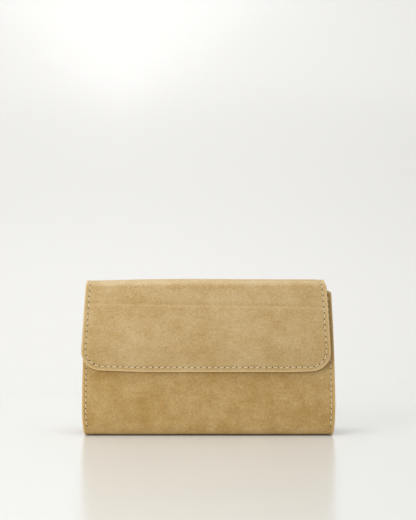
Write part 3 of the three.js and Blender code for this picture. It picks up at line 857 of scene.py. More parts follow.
def groove(distance, depth):
    return -depth * np.exp(-(distance / 0.0009) ** 2)


def puff(edge, seam_in, height, reach=0.014):
    """Beyond its seam a panel rises softly over its board."""
    return height * (1 - np.exp(-np.maximum(edge - seam_in, 0) / reach))


# ------------------------------------------------------------------ the suede body
PANEL_PUFF = 0.0006
PANEL_RIPPLE = 0.0005


def body_sheet(name, stations, seam_high, seed, along=1):
    """A run of the wrap: rows up a panel, with grooves where its sides are sewn."""
    lengths = lengths_along(stations)
    z = stations[:, 1]
    halves = body_half(z)
    columns = spaced(HALF_WIDE)
    flat = grid_points(stations, halves, columns)
    side = np.abs(halves[:, None] - np.abs(flat[:, :, 0]))
    edge = np.minimum(side, np.abs(lengths[-1] - lengths)[:, None])
    on_seam = (smooth((z - 0.008) / 0.002) * smooth((seam_high - z) / 0.002))[:, None]
    seam = np.abs(side - SEAM_IN) + (1 - on_seam) * 0.02
    puffed = puff(edge, SEAM_IN, PANEL_PUFF) * smooth((z - 0.004) / 0.02)[:, None]
    uneven = rippled(flat, PANEL_RIPPLE, 0.045, seed) * smooth((z - 0.002) / 0.015)[:, None]
    lift = groove(seam, sewing().groove) + puffed + uneven * smooth(edge / 0.01)
    normal = station_normals(flat, stations)
    outer = flat + normal * lift[:, :, None]
    inner = stood(outer - normal * SUEDE)
    outer = stood(outer)
    v = np.broadcast_to(along * lengths[:, None], edge.shape)
    maps = {"edge": edge, "seam": seam, "u": flat[:, :, 0], "v": v}
    return closed_sheet(name, outer, inner, maps, ("body", "edge", "body"), joins=True)


class WALLET_OT_body(bpy.types.Operator):
    """Make the suede that is wrapped round the front, the base and the back"""
    bl_idname = "wallet.body"
    bl_label = "Suede body"

    def execute(self, context):
        front = body_sheet("front_suede", fold_and_panel(FRONT, FRONT_TOP_Z), 0.1165, 1.0)
        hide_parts("front_panel")
        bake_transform(front)
        back = fold_and_panel(BACK, BACK_TOP_Z)
        base_y = np.linspace(FRONT.corner(-math.pi / 2)[0], back[0][0], 26)[:-1]
        base = np.array([[y, 0.0, 0.0, -1.0] for y in base_y])
        stations = np.concatenate([base, back])
        wrap = body_sheet("wrap_suede", stations, TAIL_FOOT_Z - 0.002, 2.0, -1)
        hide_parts("body_wrap")
        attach(wrap, "case")
        return {"FINISHED"}


# ------------------------------------------------------------------ the folded gussets
GUSSET_FLAT_FOOT = 0.044
GUSSET_FLAT_TOP = 0.038
GUSSET_CLEAR = 0.0001
FLANGE = 0.0044


def gusset_depth(z):
    """How far the gusset folds in, where its cloth is wider than the space it crosses."""
    flat = GUSSET_FLAT_FOOT + (GUSSET_FLAT_TOP - GUSSET_FLAT_FOOT) * z / FRONT_TOP_Z
    across = FRONT.inner_half_depth(z, SUEDE) + BACK.inner_half_depth(z, SUEDE)
    return math.sqrt(max((flat / 2) ** 2 - (across / 2) ** 2, 0.0008 ** 2))


def gusset_sheet(name, side):
    """A strip sewn edge to edge with both panels, turned out along its rim and folded inwards."""
    rim = [0.0003, 0.0014, 0.0025, 0.0036, 0.0042]
    levels = [SUEDE + GUSSET_CLEAR] * len(rim) + [0.0016, 0.0023, 0.0033, 0.0046, 0.0062, 0.0082]
    levels = levels + list(np.linspace(0.0105, FRONT_TOP_Z - 0.0012, 62))
    row_flange = rim + [FLANGE + 0.0004, FLANGE + 0.0007] + [1.0] * (len(levels) - len(rim) - 2)
    inner_t = np.linspace(-1, 1, 45)
    column_t = np.concatenate([[-1] * len(rim), inner_t, [1] * len(rim)])
    column_flange = rim + [FLANGE] + [1.0] * (len(inner_t) - 2) + [FLANGE] + rim[::-1]
    points = np.empty((len(levels), len(column_t), 3))
    edge = np.empty(points.shape[:2])
    for i, z in enumerate(levels):
        depth = gusset_depth(z)
        near = FRONT.inner_half_depth(z, SUEDE) - GUSSET_CLEAR
        far = BACK.inner_half_depth(z, SUEDE) - GUSSET_CLEAR
        half = float(body_half(z))
        for j, t in enumerate(column_t):
            fold = 0.6 * (1 - abs(t)) + 0.4 * 0.5 * (1 + math.cos(math.pi * t))
            inside = FLANGE + 0.0006 * (1 - abs(t) ** 6) + depth * fold
            into = min(row_flange[i], column_flange[j], inside)
            y = -near + (near + far) * (t + 1) / 2
            points[i, j] = (side * (half - into), y, z)
            edge[i, j] = min(row_flange[i], column_flange[j]) - 0.0003
    normals = grid_normals(points)
    if normals[40, 10, 0] * side < 0:
        normals = -normals
    calm = smooth((edge - 0.004) / 0.004)
    uneven = rippled(points, 0.0009, 0.022, 5.0 + side) * calm
    points = points + normals * uneven[:, :, None]
    inner = stood(points - normals * GUSSET_T)
    points = stood(points)
    lengths = np.linalg.norm(np.diff(points, axis=0), axis=2)
    v = np.concatenate([np.zeros((1, points.shape[1])), np.cumsum(lengths, axis=0)])
    widths = np.linalg.norm(np.diff(points, axis=1), axis=2)
    u = np.concatenate([np.zeros((points.shape[0], 1)), np.cumsum(widths, axis=1)], axis=1)
    maps = {"edge": np.maximum(edge, 0), "seam": np.abs(edge - SEAM_IN), "u": u, "v": v}
    return closed_sheet(name, points, inner, maps, ("gusset", "edge", "gusset"))


class WALLET_OT_gussets(bpy.types.Operator):
    """Make the two folded suede sides"""
    bl_idname = "wallet.gussets"
    bl_label = "Gussets"

    def execute(self, context):
        for node, side in (("left_gusset", -1), ("right_gusset", 1)):
            made = gusset_sheet(node + "_suede", side)
            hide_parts(node)
            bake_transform(made)
        return {"FINISHED"}


# ------------------------------------------------------------------ the flap
def flap_run():
    """Every station of the flap's outer face, tail first, with each one's distance down the
    flap (negative before the flap proper) and its length from the tail's edge."""
    tail = [tail_station(z) for z in np.linspace(TAIL_FOOT_Z, ROLL_START_Z, 18)[:-1]]
    roll = list(roll_stations(ROLL_ROWS))
    straight = FLAP_LENGTH - FLAP_CORNER_R
    downs = list(np.linspace(0, straight, 44)[1:])
    downs += [straight + FLAP_CORNER_R * math.sin(a) for a in np.linspace(0, math.pi / 2, 25)[1:]]
    stations = np.array(tail + roll + [flap_station(d) for d in downs])
    down = np.array([-1.0] * (len(tail) + len(roll) - 1) + [0.0] + downs)
    return stations, down, len(tail), lengths_along(stations)


def flap_edge(x, down, length):
    """Distance from a point of the flap to its cut edge."""
    half = FLAP_HALF_TOP + (FLAP_HALF_LOW - FLAP_HALF_TOP) * np.maximum(down, 0) / FLAP_LENGTH
    side = half - np.abs(x)
    bottom = np.where(down >= 0, FLAP_LENGTH - down, 1.0)
    near = np.minimum(side, bottom)
    to_x = FLAP_CORNER_R - side
    to_down = FLAP_CORNER_R - bottom
    round_corner = FLAP_CORNER_R - np.hypot(to_x, to_down)
    near = np.where((to_x > 0) & (to_down > 0), round_corner, near)
    return np.maximum(np.minimum(near, length), 0)


CREASE_DOWN = 0.0142
CREASE_SLANT = 0.0175
FLAP_PUFF = 0.0004
FLAP_RIPPLE = 0.0005
ROLL_ROWS = 61


def flap_surface(margin=0.0):
    """The flap's outer points, the outward direction at each, and its maps."""
    stations, down, _, length = flap_run()
    halves = [flap_half(d) - margin for d in down]
    columns = spaced(FLAP_HALF_LOW)
    flat = grid_points(stations, halves, columns, FLAP_X)
    x = flat[:, :, 0] - FLAP_X
    down_map = np.broadcast_to(down[:, None], x.shape)
    length_map = np.broadcast_to(length[:, None], x.shape)
    edge = flap_edge(x, down_map, length_map)
    seam = np.abs(edge - FLAP_SEAM_IN)
    crease = np.where(down_map >= 0, down_map - CREASE_DOWN - CREASE_SLANT * x, 1.0)
    normal = station_normals(flat, stations)
    # painted top light: 1 where the flap faces up, 0 where it faces the front
    rub = smooth((normal[:, :, 2] - 0.1) / 0.7)
    maps = {"edge": edge, "seam": seam, "crease": crease, "rub": rub,
            "u": flat[:, :, 0] + 0.4, "v": length_map + 0.3}
    return flat, normal, maps, down, length


def split_at(values, low, high):
    """The rows from the last one at or before low to the first one at or after high."""
    first = int(np.searchsorted(values, low - 1e-6))
    last = int(np.searchsorted(values, high - 1e-6))
    return slice(first, min(last, len(values) - 1) + 1)


def flap_parts():
    """(name, first length, last length, body before, body after, blend start, blend end)."""
    stations, _, tails, length = flap_run()
    roll_length = length[tails + ROLL_ROWS - 1] - length[tails]
    marks = length[tails] + roll_length * np.arange(FOLDS + 1) / FOLDS
    rows = [int(np.argmin(np.abs(length - mark))) for mark in marks]
    points = [Vector((0, stations[row][0], stations[row][1])) for row in rows]
    marks = [length[row] for row in rows]
    return [
        ("tail", 0.0, marks[1], "case", "roll_rear", points[0], points[1]),
        ("roll", marks[1], marks[2], "roll_rear", "roll_front", points[1], points[2]),
        ("front", marks[2], length[-1], "roll_front", "flap", points[2], points[3]),
    ]


def blend_part(made):
    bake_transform(made)


def rows_of(part, length):
    return split_at(length, part[1], part[2])


def cut(maps, rows):
    return {key: value[rows] for key, value in maps.items()}


class WALLET_OT_flap(bpy.types.Operator):
    """Make the suede flap, from its sewn tail over the roll to its rounded front"""
    bl_idname = "wallet.flap"
    bl_label = "Flap"

    def execute(self, context):
        flat, normal, maps, _, length = flap_surface()
        edge = maps["edge"]
        lift = groove(maps["seam"], sewing().groove) + puff(edge, FLAP_SEAM_IN, FLAP_PUFF)
        lift = lift + rippled(flat, FLAP_RIPPLE, 0.05, 9.0) * smooth(edge / 0.012)
        crease = maps["crease"]
        lift = lift - 0.00022 * np.exp(-((crease + 0.0008) / 0.0012) ** 2)
        lift = lift + 0.00016 * np.exp(-((crease - 0.0016) / 0.0014) ** 2)
        outer = flat + normal * lift[:, :, None]
        inner = settled(outer - normal * SUEDE)
        outer = settled(outer)
        nodes = {"tail": ("flap_tail",), "roll": ("roll_rear", "roll_front"), "front": ("flap",)}
        for part in flap_parts():
            rows = rows_of(part, length)
            made = closed_sheet("flap_suede_" + part[0], outer[rows], inner[rows],
                                cut(maps, rows), joins=True)
            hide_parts(*nodes[part[0]])
            blend_part(made)
        return {"FINISHED"}


# ------------------------------------------------------------------ linings
COTTON = ("lining", "lining", "lining")


def panel_lining(name, panel, depth, node, body, window=None):
    """Cotton over the board, drawn in to the suede at the sides, with a slot for the zip."""
    high = panel.top_z - LINING_DROP
    levels = list(np.linspace(LINING_FOOT_Z, high, 72))
    if window:
        levels = sorted(set(levels) | {window[2], window[3]})
    stations = np.array([panel.at(max(z, panel.foot_z)) for z in levels])
    stations[:, 1] = levels
    halves = body_half(stations[:, 1]) - LINING_IN
    columns = np.linspace(-1, 1, 121)
    if window:
        cuts = np.array([window[0], window[1]]) / float(body_half(ZIP_Z) - LINING_IN)
        columns = np.sort(np.concatenate([columns, cuts]))
    flat = grid_points(stations, halves, columns)
    side = halves[:, None] - np.abs(flat[:, :, 0])
    below_top = smooth((high + 0.0002 - stations[:, 1]) / 0.004)[:, None]
    inset_by = LINING_UNDER + (depth - LINING_UNDER) * smooth(side / 0.006)
    inset_by = inset_by * below_top + LINING_UNDER * (1 - below_top)
    normal = station_normals(flat, stations)
    wave = rippled(flat, 0.0004, 0.03, 13.0) * smooth(side / 0.02)
    if window:
        middle = (window[2] + window[3]) / 2
        near = smooth((np.abs(stations[:, 1] - middle)[:, None] - ZIP_WINDOW) / 0.01)
        wave = wave * near
    back_face = flat - normal * (inset_by + wave)[:, :, None]
    seen_face = back_face - normal * LINING
    keep = None
    if window:
        middle_x = (flat[:-1, :-1, 0] + flat[1:, 1:, 0]) / 2
        middle_z = (flat[:-1, :-1, 2] + flat[1:, 1:, 2]) / 2
        inside = (middle_x > window[0]) & (middle_x < window[1])
        inside = inside & (middle_z > window[2]) & (middle_z < window[3])
        keep = ~inside
    maps = {"u": flat[:, :, 0], "v": flat[:, :, 2]}
    made = closed_sheet(name, seen_face, back_face, maps, COTTON, keep)
    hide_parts(node)
    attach(made, body)
    return made


class WALLET_OT_linings(bpy.types.Operator):
    """Make the cotton linings of the compartment, the pocket and the flap"""
    bl_idname = "wallet.linings"
    bl_label = "Linings"

    def execute(self, context):
        panel_lining("front_lining_cloth", FRONT, FRONT_LINING_DEPTH, "front_lining", "front")
        reach = TEETH_HIGH.x + ZIP_WINDOW_PAST
        window = (-reach, reach, ZIP_Z - ZIP_WINDOW, ZIP_Z + ZIP_WINDOW)
        panel_lining("back_lining_cloth", BACK, BACK_LINING_DEPTH, "back_lining", "case", window)
        self.base()
        self.flap()
        return {"FINISHED"}

    def base(self):
        """The floor of the compartment, turned up at the front and the back."""
        y_half = BODY_DEPTH / 2 - FOOT_R
        rise = FOOT_R - 0.0028
        turn = np.linspace(0, math.pi / 2 * 0.9, 8)
        front = [(-y_half - rise * math.sin(a), FOOT_R - rise * math.cos(a)) for a in turn[::-1]]
        back = [(y_half + rise * math.sin(a), FOOT_R - rise * math.cos(a)) for a in turn]
        flat = [(y, FOOT_R - rise) for y in np.linspace(-y_half, y_half, 22)[1:-1]]
        line = np.array(front + flat + back)
        stations = np.column_stack([line, line])
        halves = [HALF_FOOT - LINING_IN] * len(line)
        upper = grid_points(stations, halves, np.linspace(-1, 1, 90))
        upper[:, :, 2] += rippled(upper, 0.0004, 0.03, 17.0)
        lower = upper - LINING * np.array([0, 0, 1.0])
        v = np.broadcast_to(lengths_along(stations)[:, None], upper.shape[:2])
        maps = {"u": upper[:, :, 0], "v": v}
        made = closed_sheet("base_lining_cloth", upper, lower, maps, COTTON)
        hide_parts("base_lining")
        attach(made, "case")

    def flap(self):
        """The lining of the flap and of the roll, 2 mm inside the suede's edge."""
        flat, normal, maps, down, length = flap_surface(0.002)
        edge = maps["edge"]
        depth = 0.0017 + 0.0006 * smooth((down + 0.5) / 0.5)[:, None] * smooth(edge / 0.008)
        depth = depth + 0.0003 * smooth(edge / 0.02)
        seen = settled(flat - normal * (depth + LINING)[:, :, None])
        hidden = settled(flat - normal * depth[:, :, None])
        nodes = {"tail": (), "roll": ("roll_rear_lining", "roll_front_lining"),
                 "front": ("flap_lining",)}
        tails = flap_run()[2]
        for part in flap_parts():
            low = length[tails] + 0.0006 if part[0] == "tail" else part[1]
            high = part[2] - 0.002 if part[0] == "front" else part[2]
            rows = split_at(length, low, high)
            made = closed_sheet("flap_lining_" + part[0], seen[rows], hidden[rows],
                                cut(maps, rows), COTTON, joins=True)
            if nodes[part[0]]:
                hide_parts(*nodes[part[0]])
            blend_part(made)


# ------------------------------------------------------------------ stitching
def repeat_tree(name, **inputs):
    """A node tree for what repeats along a line: the tree and its inputs by name."""
    group = bpy.data.node_groups.new(name, "GeometryNodeTree")
    face = group.interface
    face.new_socket("Geometry", in_out="INPUT", socket_type="NodeSocketGeometry")
    for key, kind in inputs.items():
        face.new_socket(key.replace("_", " "), in_out="INPUT", socket_type="NodeSocket" + kind)
    face.new_socket("Geometry", in_out="OUTPUT", socket_type="NodeSocketGeometry")
    tree = Tree(group)
    given = group.nodes.new("NodeGroupInput")
    return tree, {socket.name: Socket(tree, socket) for socket in given.outputs if socket.name}


def real(tree, instances, finish):
    """The instances as real geometry, with their material."""
    solid = tree.node("GeometryNodeRealizeInstances", {}, instances)
    return tree.node("GeometryNodeSetMaterial", {}, solid, material=finish)


def ends_in(tree, geometry):
    result = tree.tree.nodes.new("NodeGroupOutput")
    tree.tree.links.new(geometry.socket, result.inputs[0])
    return tree.tree


def every_other(tree, index):
    return tree.node("ShaderNodeMath", {"operation": "MODULO"}, index, 2.0)


def stitch_tree():
    """Thread and needle holes along the lines of a mesh that carries an outward direction."""
    tree, take = repeat_tree("stitch_row", Stitch_Length="Float", Thread_Width="Float",
                             Rise="Float", Seed="Int", Thread="Material", Hole="Material")
    length, width, rise = take["Stitch Length"], take["Thread Width"], take["Rise"]
    line = tree.node("GeometryNodeMeshToCurve", {}, take["Geometry"])
    spline = tree.node("GeometryNodeSplineLength", {}, out="Length")
    stitches = tree.node("ShaderNodeMath", {"operation": "ROUND"}, spline / length)
    points = tree.node("GeometryNodeResampleCurve", {"mode": "COUNT"}, curve=line,
                       count=stitches * 2 + 1)
    tangent = tree.node("GeometryNodeInputTangent")
    outward = tree.node("GeometryNodeInputNamedAttribute", {"data_type": "FLOAT_VECTOR"}, "outward")
    upright = tree.node("FunctionNodeAlignRotationToVector", {"axis": "Z"}, vector=outward)
    turned = tree.node("FunctionNodeAlignRotationToVector", {"axis": "X", "pivot_axis": "Z"},
                       rotation=upright, vector=tangent)
    odd = every_other(tree, tree.node("GeometryNodeSplineParameter", {}, out="Index"))

    # One stitch: a thread that dips into its holes at both ends and slants a little.
    rod = tree.node("GeometryNodeCurvePrimitiveLine", {"mode": "POINTS"}, (-0.5, 0, 0), (0.5, 0, 0))
    rod = tree.node("GeometryNodeResampleCurve", {"mode": "COUNT"}, curve=rod, count=9)
    along = tree.node("GeometryNodeSplineParameter", {}, out="Factor") * 2 - 1
    arch = 1 - along ** 4
    place = tree.node("ShaderNodeCombineXYZ", {}, along * length * 0.315, along * width * 0.22,
                      arch * rise - rise * 0.35)
    rod = tree.node("GeometryNodeSetPosition", {}, geometry=rod, position=place)
    thickness = 0.62 + 0.38 * (1 - along ** 2)
    rod = tree.node("GeometryNodeSetCurveRadius", {}, curve=rod, radius=thickness)
    ring = tree.node("GeometryNodeCurvePrimitiveCircle", {"mode": "RADIUS"}, resolution=8,
                     radius=width / 2)
    tube = tree.node("GeometryNodeCurveToMesh", {}, rod, ring, fill_caps=True)

    def random(low, high):
        return tree.node("FunctionNodeRandomValue", {"data_type": "FLOAT"},
                         min=low, max=high, seed=take["Seed"])

    scatter = random(0.93, 1.05)
    tilt = random(-0.05, 0.05)
    lean = tree.node("ShaderNodeCombineXYZ", {}, 0.0, 0.0, tilt)
    spin = tree.node("FunctionNodeRotateRotation", {"rotation_space": "LOCAL"}, turned,
                     tree.node("FunctionNodeEulerToRotation", {}, lean))
    size = tree.node("ShaderNodeCombineXYZ", {}, scatter, 1.0, 1.0)
    threads = tree.node("GeometryNodeInstanceOnPoints", {}, points=points, selection=odd,
                        instance=tube, rotation=spin, scale=size)

    # A needle hole is a shallow dish painted dark as the hole's shade, a little longer than it is
    # wide.
    dish = tree.node("GeometryNodeMeshCylinder", {"fill_type": "NGON"}, vertices=10,
                     radius=width * 0.78, depth=0.00012)
    holes = tree.node("GeometryNodeInstanceOnPoints", {}, points=points, selection=1 - odd,
                      instance=dish, rotation=turned, scale=(1.1, 1.0, 1.0))
    both = [real(tree, threads, take["Thread"]), real(tree, holes, take["Hole"])]
    return ends_in(tree, tree.node("GeometryNodeJoinGeometry", {}, both))


def sewn_row(name, lines, stitch, seed):
    """Stitches along lines of (point, outward) pairs, as one plain mesh."""
    points, edges, outward = [], [], []
    for line in lines:
        first = len(points)
        points += [tuple(p) for p, n in line]
        outward += [tuple(n) for p, n in line]
        edges += [(first + k, first + k + 1) for k in range(len(line) - 1)]
    mesh = bpy.data.meshes.new(name + "_line")
    mesh.from_pydata(points, edges, [])
    layer = mesh.attributes.new("outward", "FLOAT_VECTOR", "POINT")
    layer.data.foreach_set("vector", np.array(outward, np.float32).reshape(-1))
    carrier = linked(name, mesh)
    group = bpy.data.node_groups.get("stitch_row") or stitch_tree()
    width = sewing().thread_width
    values = {"Stitch Length": stitch, "Thread Width": width, "Rise": width * 0.55, "Seed": seed,
              "Thread": material("thread"), "Hole": material("hole")}
    grown(carrier, group, values, name)
    return carrier


def laid_on(line, skin):
    """The line moved on to the finished suede, with the suede's own direction at each point."""
    laid = []
    for point, outward in line:
        place, normal = skin.find_nearest(point)[:2]
        laid.append((place, normal if normal.dot(outward) > 0 else outward))
    return laid


def skin_of(name):
    return BVHTree.FromObject(bpy.data.objects[name], bpy.context.evaluated_depsgraph_get())


def side_line(panel, side, low, high):
    sunk = sewing().groove
    line = []
    for z in np.linspace(low, high, 60):
        place = panel.at(z) if z > panel.foot_z else panel.corner(math.asin((z - FOOT_R) / FOOT_R))
        x = side * (float(body_half(z)) - SEAM_IN)
        line.append((set_in(x, place, sunk), facing(place)))
    return line


def cross_line(panel, z, margin):
    """Straight across a panel, a margin in from its sides."""
    place = panel.at(z)
    half = float(body_half(z)) - margin
    sunk = sewing().groove * 0.4
    return [(set_in(x, place, sunk), facing(place)) for x in np.linspace(-half, half, 80)]


def pocket_line():
    """Round the slot of the pocket, on the lining, with the zip's tapes sewn in behind."""
    across = TEETH_HIGH.x + ZIP_WINDOW_PAST + POCKET_SEAM_OUT
    up = ZIP_WINDOW + POCKET_SEAM_OUT
    corners = [(-across, up), (across, up), (across, -up), (-across, -up), (-across, up)]
    line = []
    for (x0, z0), (x1, z1) in zip(corners, corners[1:]):
        for t in np.linspace(0, 1, 12)[:-1]:
            place = BACK.at(ZIP_Z + z0 + (z1 - z0) * t)
            point = set_in(x0 + (x1 - x0) * t, place, BACK_LINING_DEPTH + LINING)
            line.append((point, -facing(place)))
    return line


def flap_point(x, place, sunk):
    return Vector(settled(set_in(FLAP_X + x, place, sunk))), facing(place)


def flap_seam_lines():
    """The row round the flap, cut where the flap's own pieces are cut."""
    sunk = sewing().groove
    stations, down, _, length = flap_run()
    rear, fore = (part[2] for part in flap_parts()[:2])
    side_x = FLAP_HALF_TOP - FLAP_SEAM_IN

    def up_side(side, low, high):
        inside = (length >= low - 1e-6) & (length <= high + 1e-6) & (down <= 0)
        return [flap_point(side * side_x, station, sunk) for station in stations[inside]]

    left, right = up_side(-1, TAIL_SEAM_IN, rear), up_side(1, TAIL_SEAM_IN, rear)
    foot = int(np.argmax(length >= TAIL_SEAM_IN))
    across = [flap_point(x, stations[foot], sunk) for x in np.linspace(-side_x, side_x, 80)[1:-1]]
    tail = [left[::-1] + across + right]
    roll = [up_side(-1, rear, fore), up_side(1, rear, fore)]
    radius = FLAP_CORNER_R - FLAP_SEAM_IN
    bend_down = FLAP_LENGTH - FLAP_CORNER_R
    centre_x = flap_half(bend_down, FLAP_SEAM_IN) - radius

    def down_side(side):
        straight = [(flap_half(d, FLAP_SEAM_IN), d) for d in np.linspace(0, bend_down, 30)[1:]]
        corner = [(centre_x + radius * math.cos(a), bend_down + radius * math.sin(a))
                  for a in np.linspace(0, math.pi / 2, 20)[1:]]
        run = [flap_point(side * x, flap_station(down), sunk) for x, down in straight + corner]
        return up_side(side, fore, length[-1]) + run

    bottom = [flap_point(x, flap_station(FLAP_LENGTH - FLAP_SEAM_IN), sunk)
              for x in np.linspace(centre_x, -centre_x, 80)[1:-1]]
    front = [down_side(1) + bottom + down_side(-1)[::-1]]
    return {"tail": tail, "roll": roll, "front": front}


class WALLET_OT_stitching(bpy.types.Operator):
    """Sew the sides, the flap and its tail"""
    bl_idname = "wallet.stitching"
    bl_label = "Stitching"

    def execute(self, context):
        pitch = sewing().side_stitch
        front_high, back_high = FRONT_TOP_Z - TOP_SEAM_DROP, TAIL_FOOT_Z - 0.001
        front_skin, back_skin = skin_of("front_suede"), skin_of("wrap_suede")
        rows = (
            ("front", "left", FRONT, -1, front_high, front_skin),
            ("front", "right", FRONT, 1, front_high, front_skin),
            ("back", "left", BACK, -1, back_high, back_skin),
            ("back", "right", BACK, 1, back_high, back_skin),
        )
        for seed, (face, hand, panel, side, high, skin) in enumerate(rows):
            line = laid_on(side_line(panel, side, SEAM_FOOT_Z, high), skin)
            made = sewn_row(f"{face}_stitches_{hand}", [line], pitch, seed)
            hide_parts(f"{face}_seam_{hand}")
            if face == "front":
                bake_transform(made)
            else:
                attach(made, "case")
        top = laid_on(cross_line(FRONT, front_high, TOP_SEAM_MARGIN), front_skin)
        made = sewn_row("front_top_stitches", [top], pitch, 7)
        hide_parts("front_top_seam")
        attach(made, "front")
        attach(sewn_row("pocket_stitches", [pocket_line()], sewing().lining_stitch, 8), "case")
        nodes = {"tail": ("tail_seam",), "roll": (), "front": ("flap_seam",)}
        lines = flap_seam_lines()
        for seed, part in enumerate(flap_parts()):
            skin = skin_of("flap_suede_" + part[0])
            laid = [laid_on(line, skin) for line in lines[part[0]]]
            made = sewn_row("flap_stitches_" + part[0], laid, sewing().flap_stitch, 10 + seed)
            if nodes[part[0]]:
                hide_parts(*nodes[part[0]])
            blend_part(made)
        return {"FINISHED"}


# ------------------------------------------------------------------ hardware and boards
def carried_over(nodes, key):
    """Nodes whose shape is already right get their own finish."""
    for name in nodes:
        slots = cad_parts[name].data.materials
        slots.clear()
        slots.append(material(key))


def softened(node, name, width, body):
    """A cast or stamped part: the node's own shape with its edges rounded over."""
    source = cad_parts[node]
    build = bmesh.new()
    build.from_mesh(source.data)
    build.transform(source.matrix_world)
    bmesh.ops.remove_doubles(build, verts=build.verts, dist=1e-6)
    bmesh.ops.dissolve_limit(build, angle_limit=math.radians(2), verts=build.verts,
                             edges=build.edges)
    corner = math.radians(28)
    sharp = [edge for edge in build.edges if edge.is_manifold and edge.calc_face_angle() > corner]
    bmesh.ops.bevel(build, geom=sharp, offset=width, segments=3, profile=0.5, affect="EDGES",
                    clamp_overlap=True)
    mesh = bpy.data.meshes.new(name)
    build.to_mesh(mesh)
    build.free()
    mesh.materials.append(material("metal"))
    mesh.polygons.foreach_set("use_smooth", [True] * len(mesh.polygons))
    mesh.set_sharp_from_angle(angle=math.radians(40))
    made = linked(name, mesh)
    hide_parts(node)
    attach(made, body)


PROFILE_ROUND = 0.0003
TURNS = 48


def rounded(corners):
    """A profile of (r, h) corners with each inner corner rounded."""
    line = [corners[0]]
    for before, corner, after in zip(corners, corners[1:], corners[2:]):
        corner = np.array(corner)
        to_before, to_after = np.array(before) - corner, np.array(after) - corner
        before_length, after_length = np.linalg.norm(to_before), np.linalg.norm(to_after)
        reach = min(PROFILE_ROUND, before_length * 0.45, after_length * 0.45)
        first = corner + to_before / before_length * reach
        last = corner + to_after / after_length * reach
        for t in np.linspace(0, 1, 4):
            line.append(tuple((1 - t) ** 2 * first + 2 * t * (1 - t) * corner + t ** 2 * last))
    return line + [corners[-1]]


def lathe(name, corners, station, keys, split_r):
    """A disc turned about a station's outward direction. Inside split_r it takes the second
    finish."""
    line = rounded(corners)
    centre, outward = np.array([0.0, *station[:2]]), np.array([0.0, *station[2:]])
    across = np.array([1.0, 0, 0])
    up = np.cross(outward, across)
    verts = []
    for r, h in line:
        for angle in 2 * math.pi * np.arange(TURNS) / TURNS:
            spoke = across * math.cos(angle) + up * math.sin(angle)
            verts.append(centre + outward * h + spoke * max(r, 1e-5))
    faces, kinds = [], []
    for i in range(len(line) - 1):
        low, high = i * TURNS, (i + 1) * TURNS
        for k in range(TURNS):
            n = (k + 1) % TURNS
            faces.append((low + k, low + n, high + n, high + k))
            kinds.append(1 if max(line[i][0], line[i + 1][0]) < split_r else 0)
    for first, turn in ((0, -1), ((len(line) - 1) * TURNS, 1)):
        faces.append(tuple(range(first, first + TURNS))[::turn])
        kinds.append(1 if line[0 if first == 0 else -1][0] < split_r else 0)
    if signed_volume(verts, faces) < 0:
        faces = [face[::-1] for face in faces]
    mesh = bpy.data.meshes.new(name)
    mesh.from_pydata([tuple(v) for v in verts], [], faces)
    for key in keys:
        mesh.materials.append(material(key))
    mesh.polygons.foreach_set("material_index", kinds)
    mesh.polygons.foreach_set("use_smooth", [True] * len(faces))
    mesh.set_sharp_from_angle(angle=math.radians(50))
    return linked(name, mesh)


class WALLET_OT_snap(bpy.types.Operator):
    """Make both halves of the thin magnetic snap"""
    bl_idname = "wallet.snap"
    bl_label = "Magnetic snap"

    def execute(self, context):
        place = FRONT.at(SNAP_Z)
        profile = [(0.0, 0.0001), (0.0, 0.0005), (0.0028, 0.0005), (0.0029, 0.0014),
                   (0.0040, 0.0015), (0.0046, 0.0012), (SNAP_R, 0.0010), (SNAP_R, 0.0001),
                   (0.0, 0.0001)]
        socket = lathe("snap_socket_cup", profile, place, ("metal", "steel"), 0.00285)
        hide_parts("snap_socket")
        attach(socket, "front")
        y, z = FLAP_TOP[:2] - place[:2]
        seat = flap_station(y * math.sin(FLAP_LEAN) + z * math.cos(FLAP_LEAN))
        low = -0.00285
        profile = [(0.0, low), (SNAP_R, low), (SNAP_R, low - 0.0005), (0.0052, low - 0.0007),
                   (0.0026, low - 0.0007), (0.0024, low - 0.0017), (0.0, low - 0.0017)]
        stud = lathe("snap_stud_disc", profile, seat, ("metal", "metal"), 0.0)
        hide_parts("snap_stud")
        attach(stud, "flap")
        return {"FINISHED"}


TAPE_IN = 0.0031
TEETH_IN = 0.0038
TAPE_T = 0.0006
TAPE_WIDE = 0.009
POCKET_IN = 0.0024
TOOTH_PITCH = 0.0015


def zip_cloth(name, node, key, half, low, high, depth, thick, ripple):
    """A flat band of cloth behind the slot of the pocket."""
    rows = max(6, int((high - low) / 0.002))
    stations = np.array([BACK.at(z) for z in np.linspace(low, high, rows)])
    flat = grid_points(stations, [half] * len(stations), np.linspace(-1, 1, 90))
    normal = station_normals(flat, stations)
    wave = rippled(flat, ripple, 0.02, 23.0)
    outer = flat - normal * (depth + wave)[:, :, None]
    inner = outer - normal * thick
    maps = {"u": flat[:, :, 0], "v": flat[:, :, 2]}
    made = closed_sheet(name, inner, outer, maps, (key, key, key))
    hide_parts(node)
    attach(made, "case")


def tooth_mesh():
    """One stamped tooth: a bar that narrows to a rounded head. X along the zip, Z to the head."""
    right = [(0.00042, -0.0014), (0.00050, -0.0004), (0.00036, 0.0001), (0.00050, 0.0005),
             (0.00034, 0.0009)]
    outline = right + [(-x, z) for x, z in right[::-1]]
    levels = [(0.0, 1.0), (0.00095, 1.0), (0.00118, 0.72)]
    count = len(outline)
    verts = [(x * size, -height, z * (size if z > 0 else 1))
             for height, size in levels for x, z in outline]
    faces = [tuple(range(count)), tuple(range(2 * count, 3 * count))[::-1]]
    for low in (0, count):
        for k in range(count):
            n = (k + 1) % count
            faces.append((low + k, low + count + k, low + count + n, low + n))
    if signed_volume([np.array(v) for v in verts], faces) < 0:
        faces = [face[::-1] for face in faces]
    mesh = bpy.data.meshes.new("zip_tooth")
    mesh.from_pydata(verts, [], faces)
    return mesh


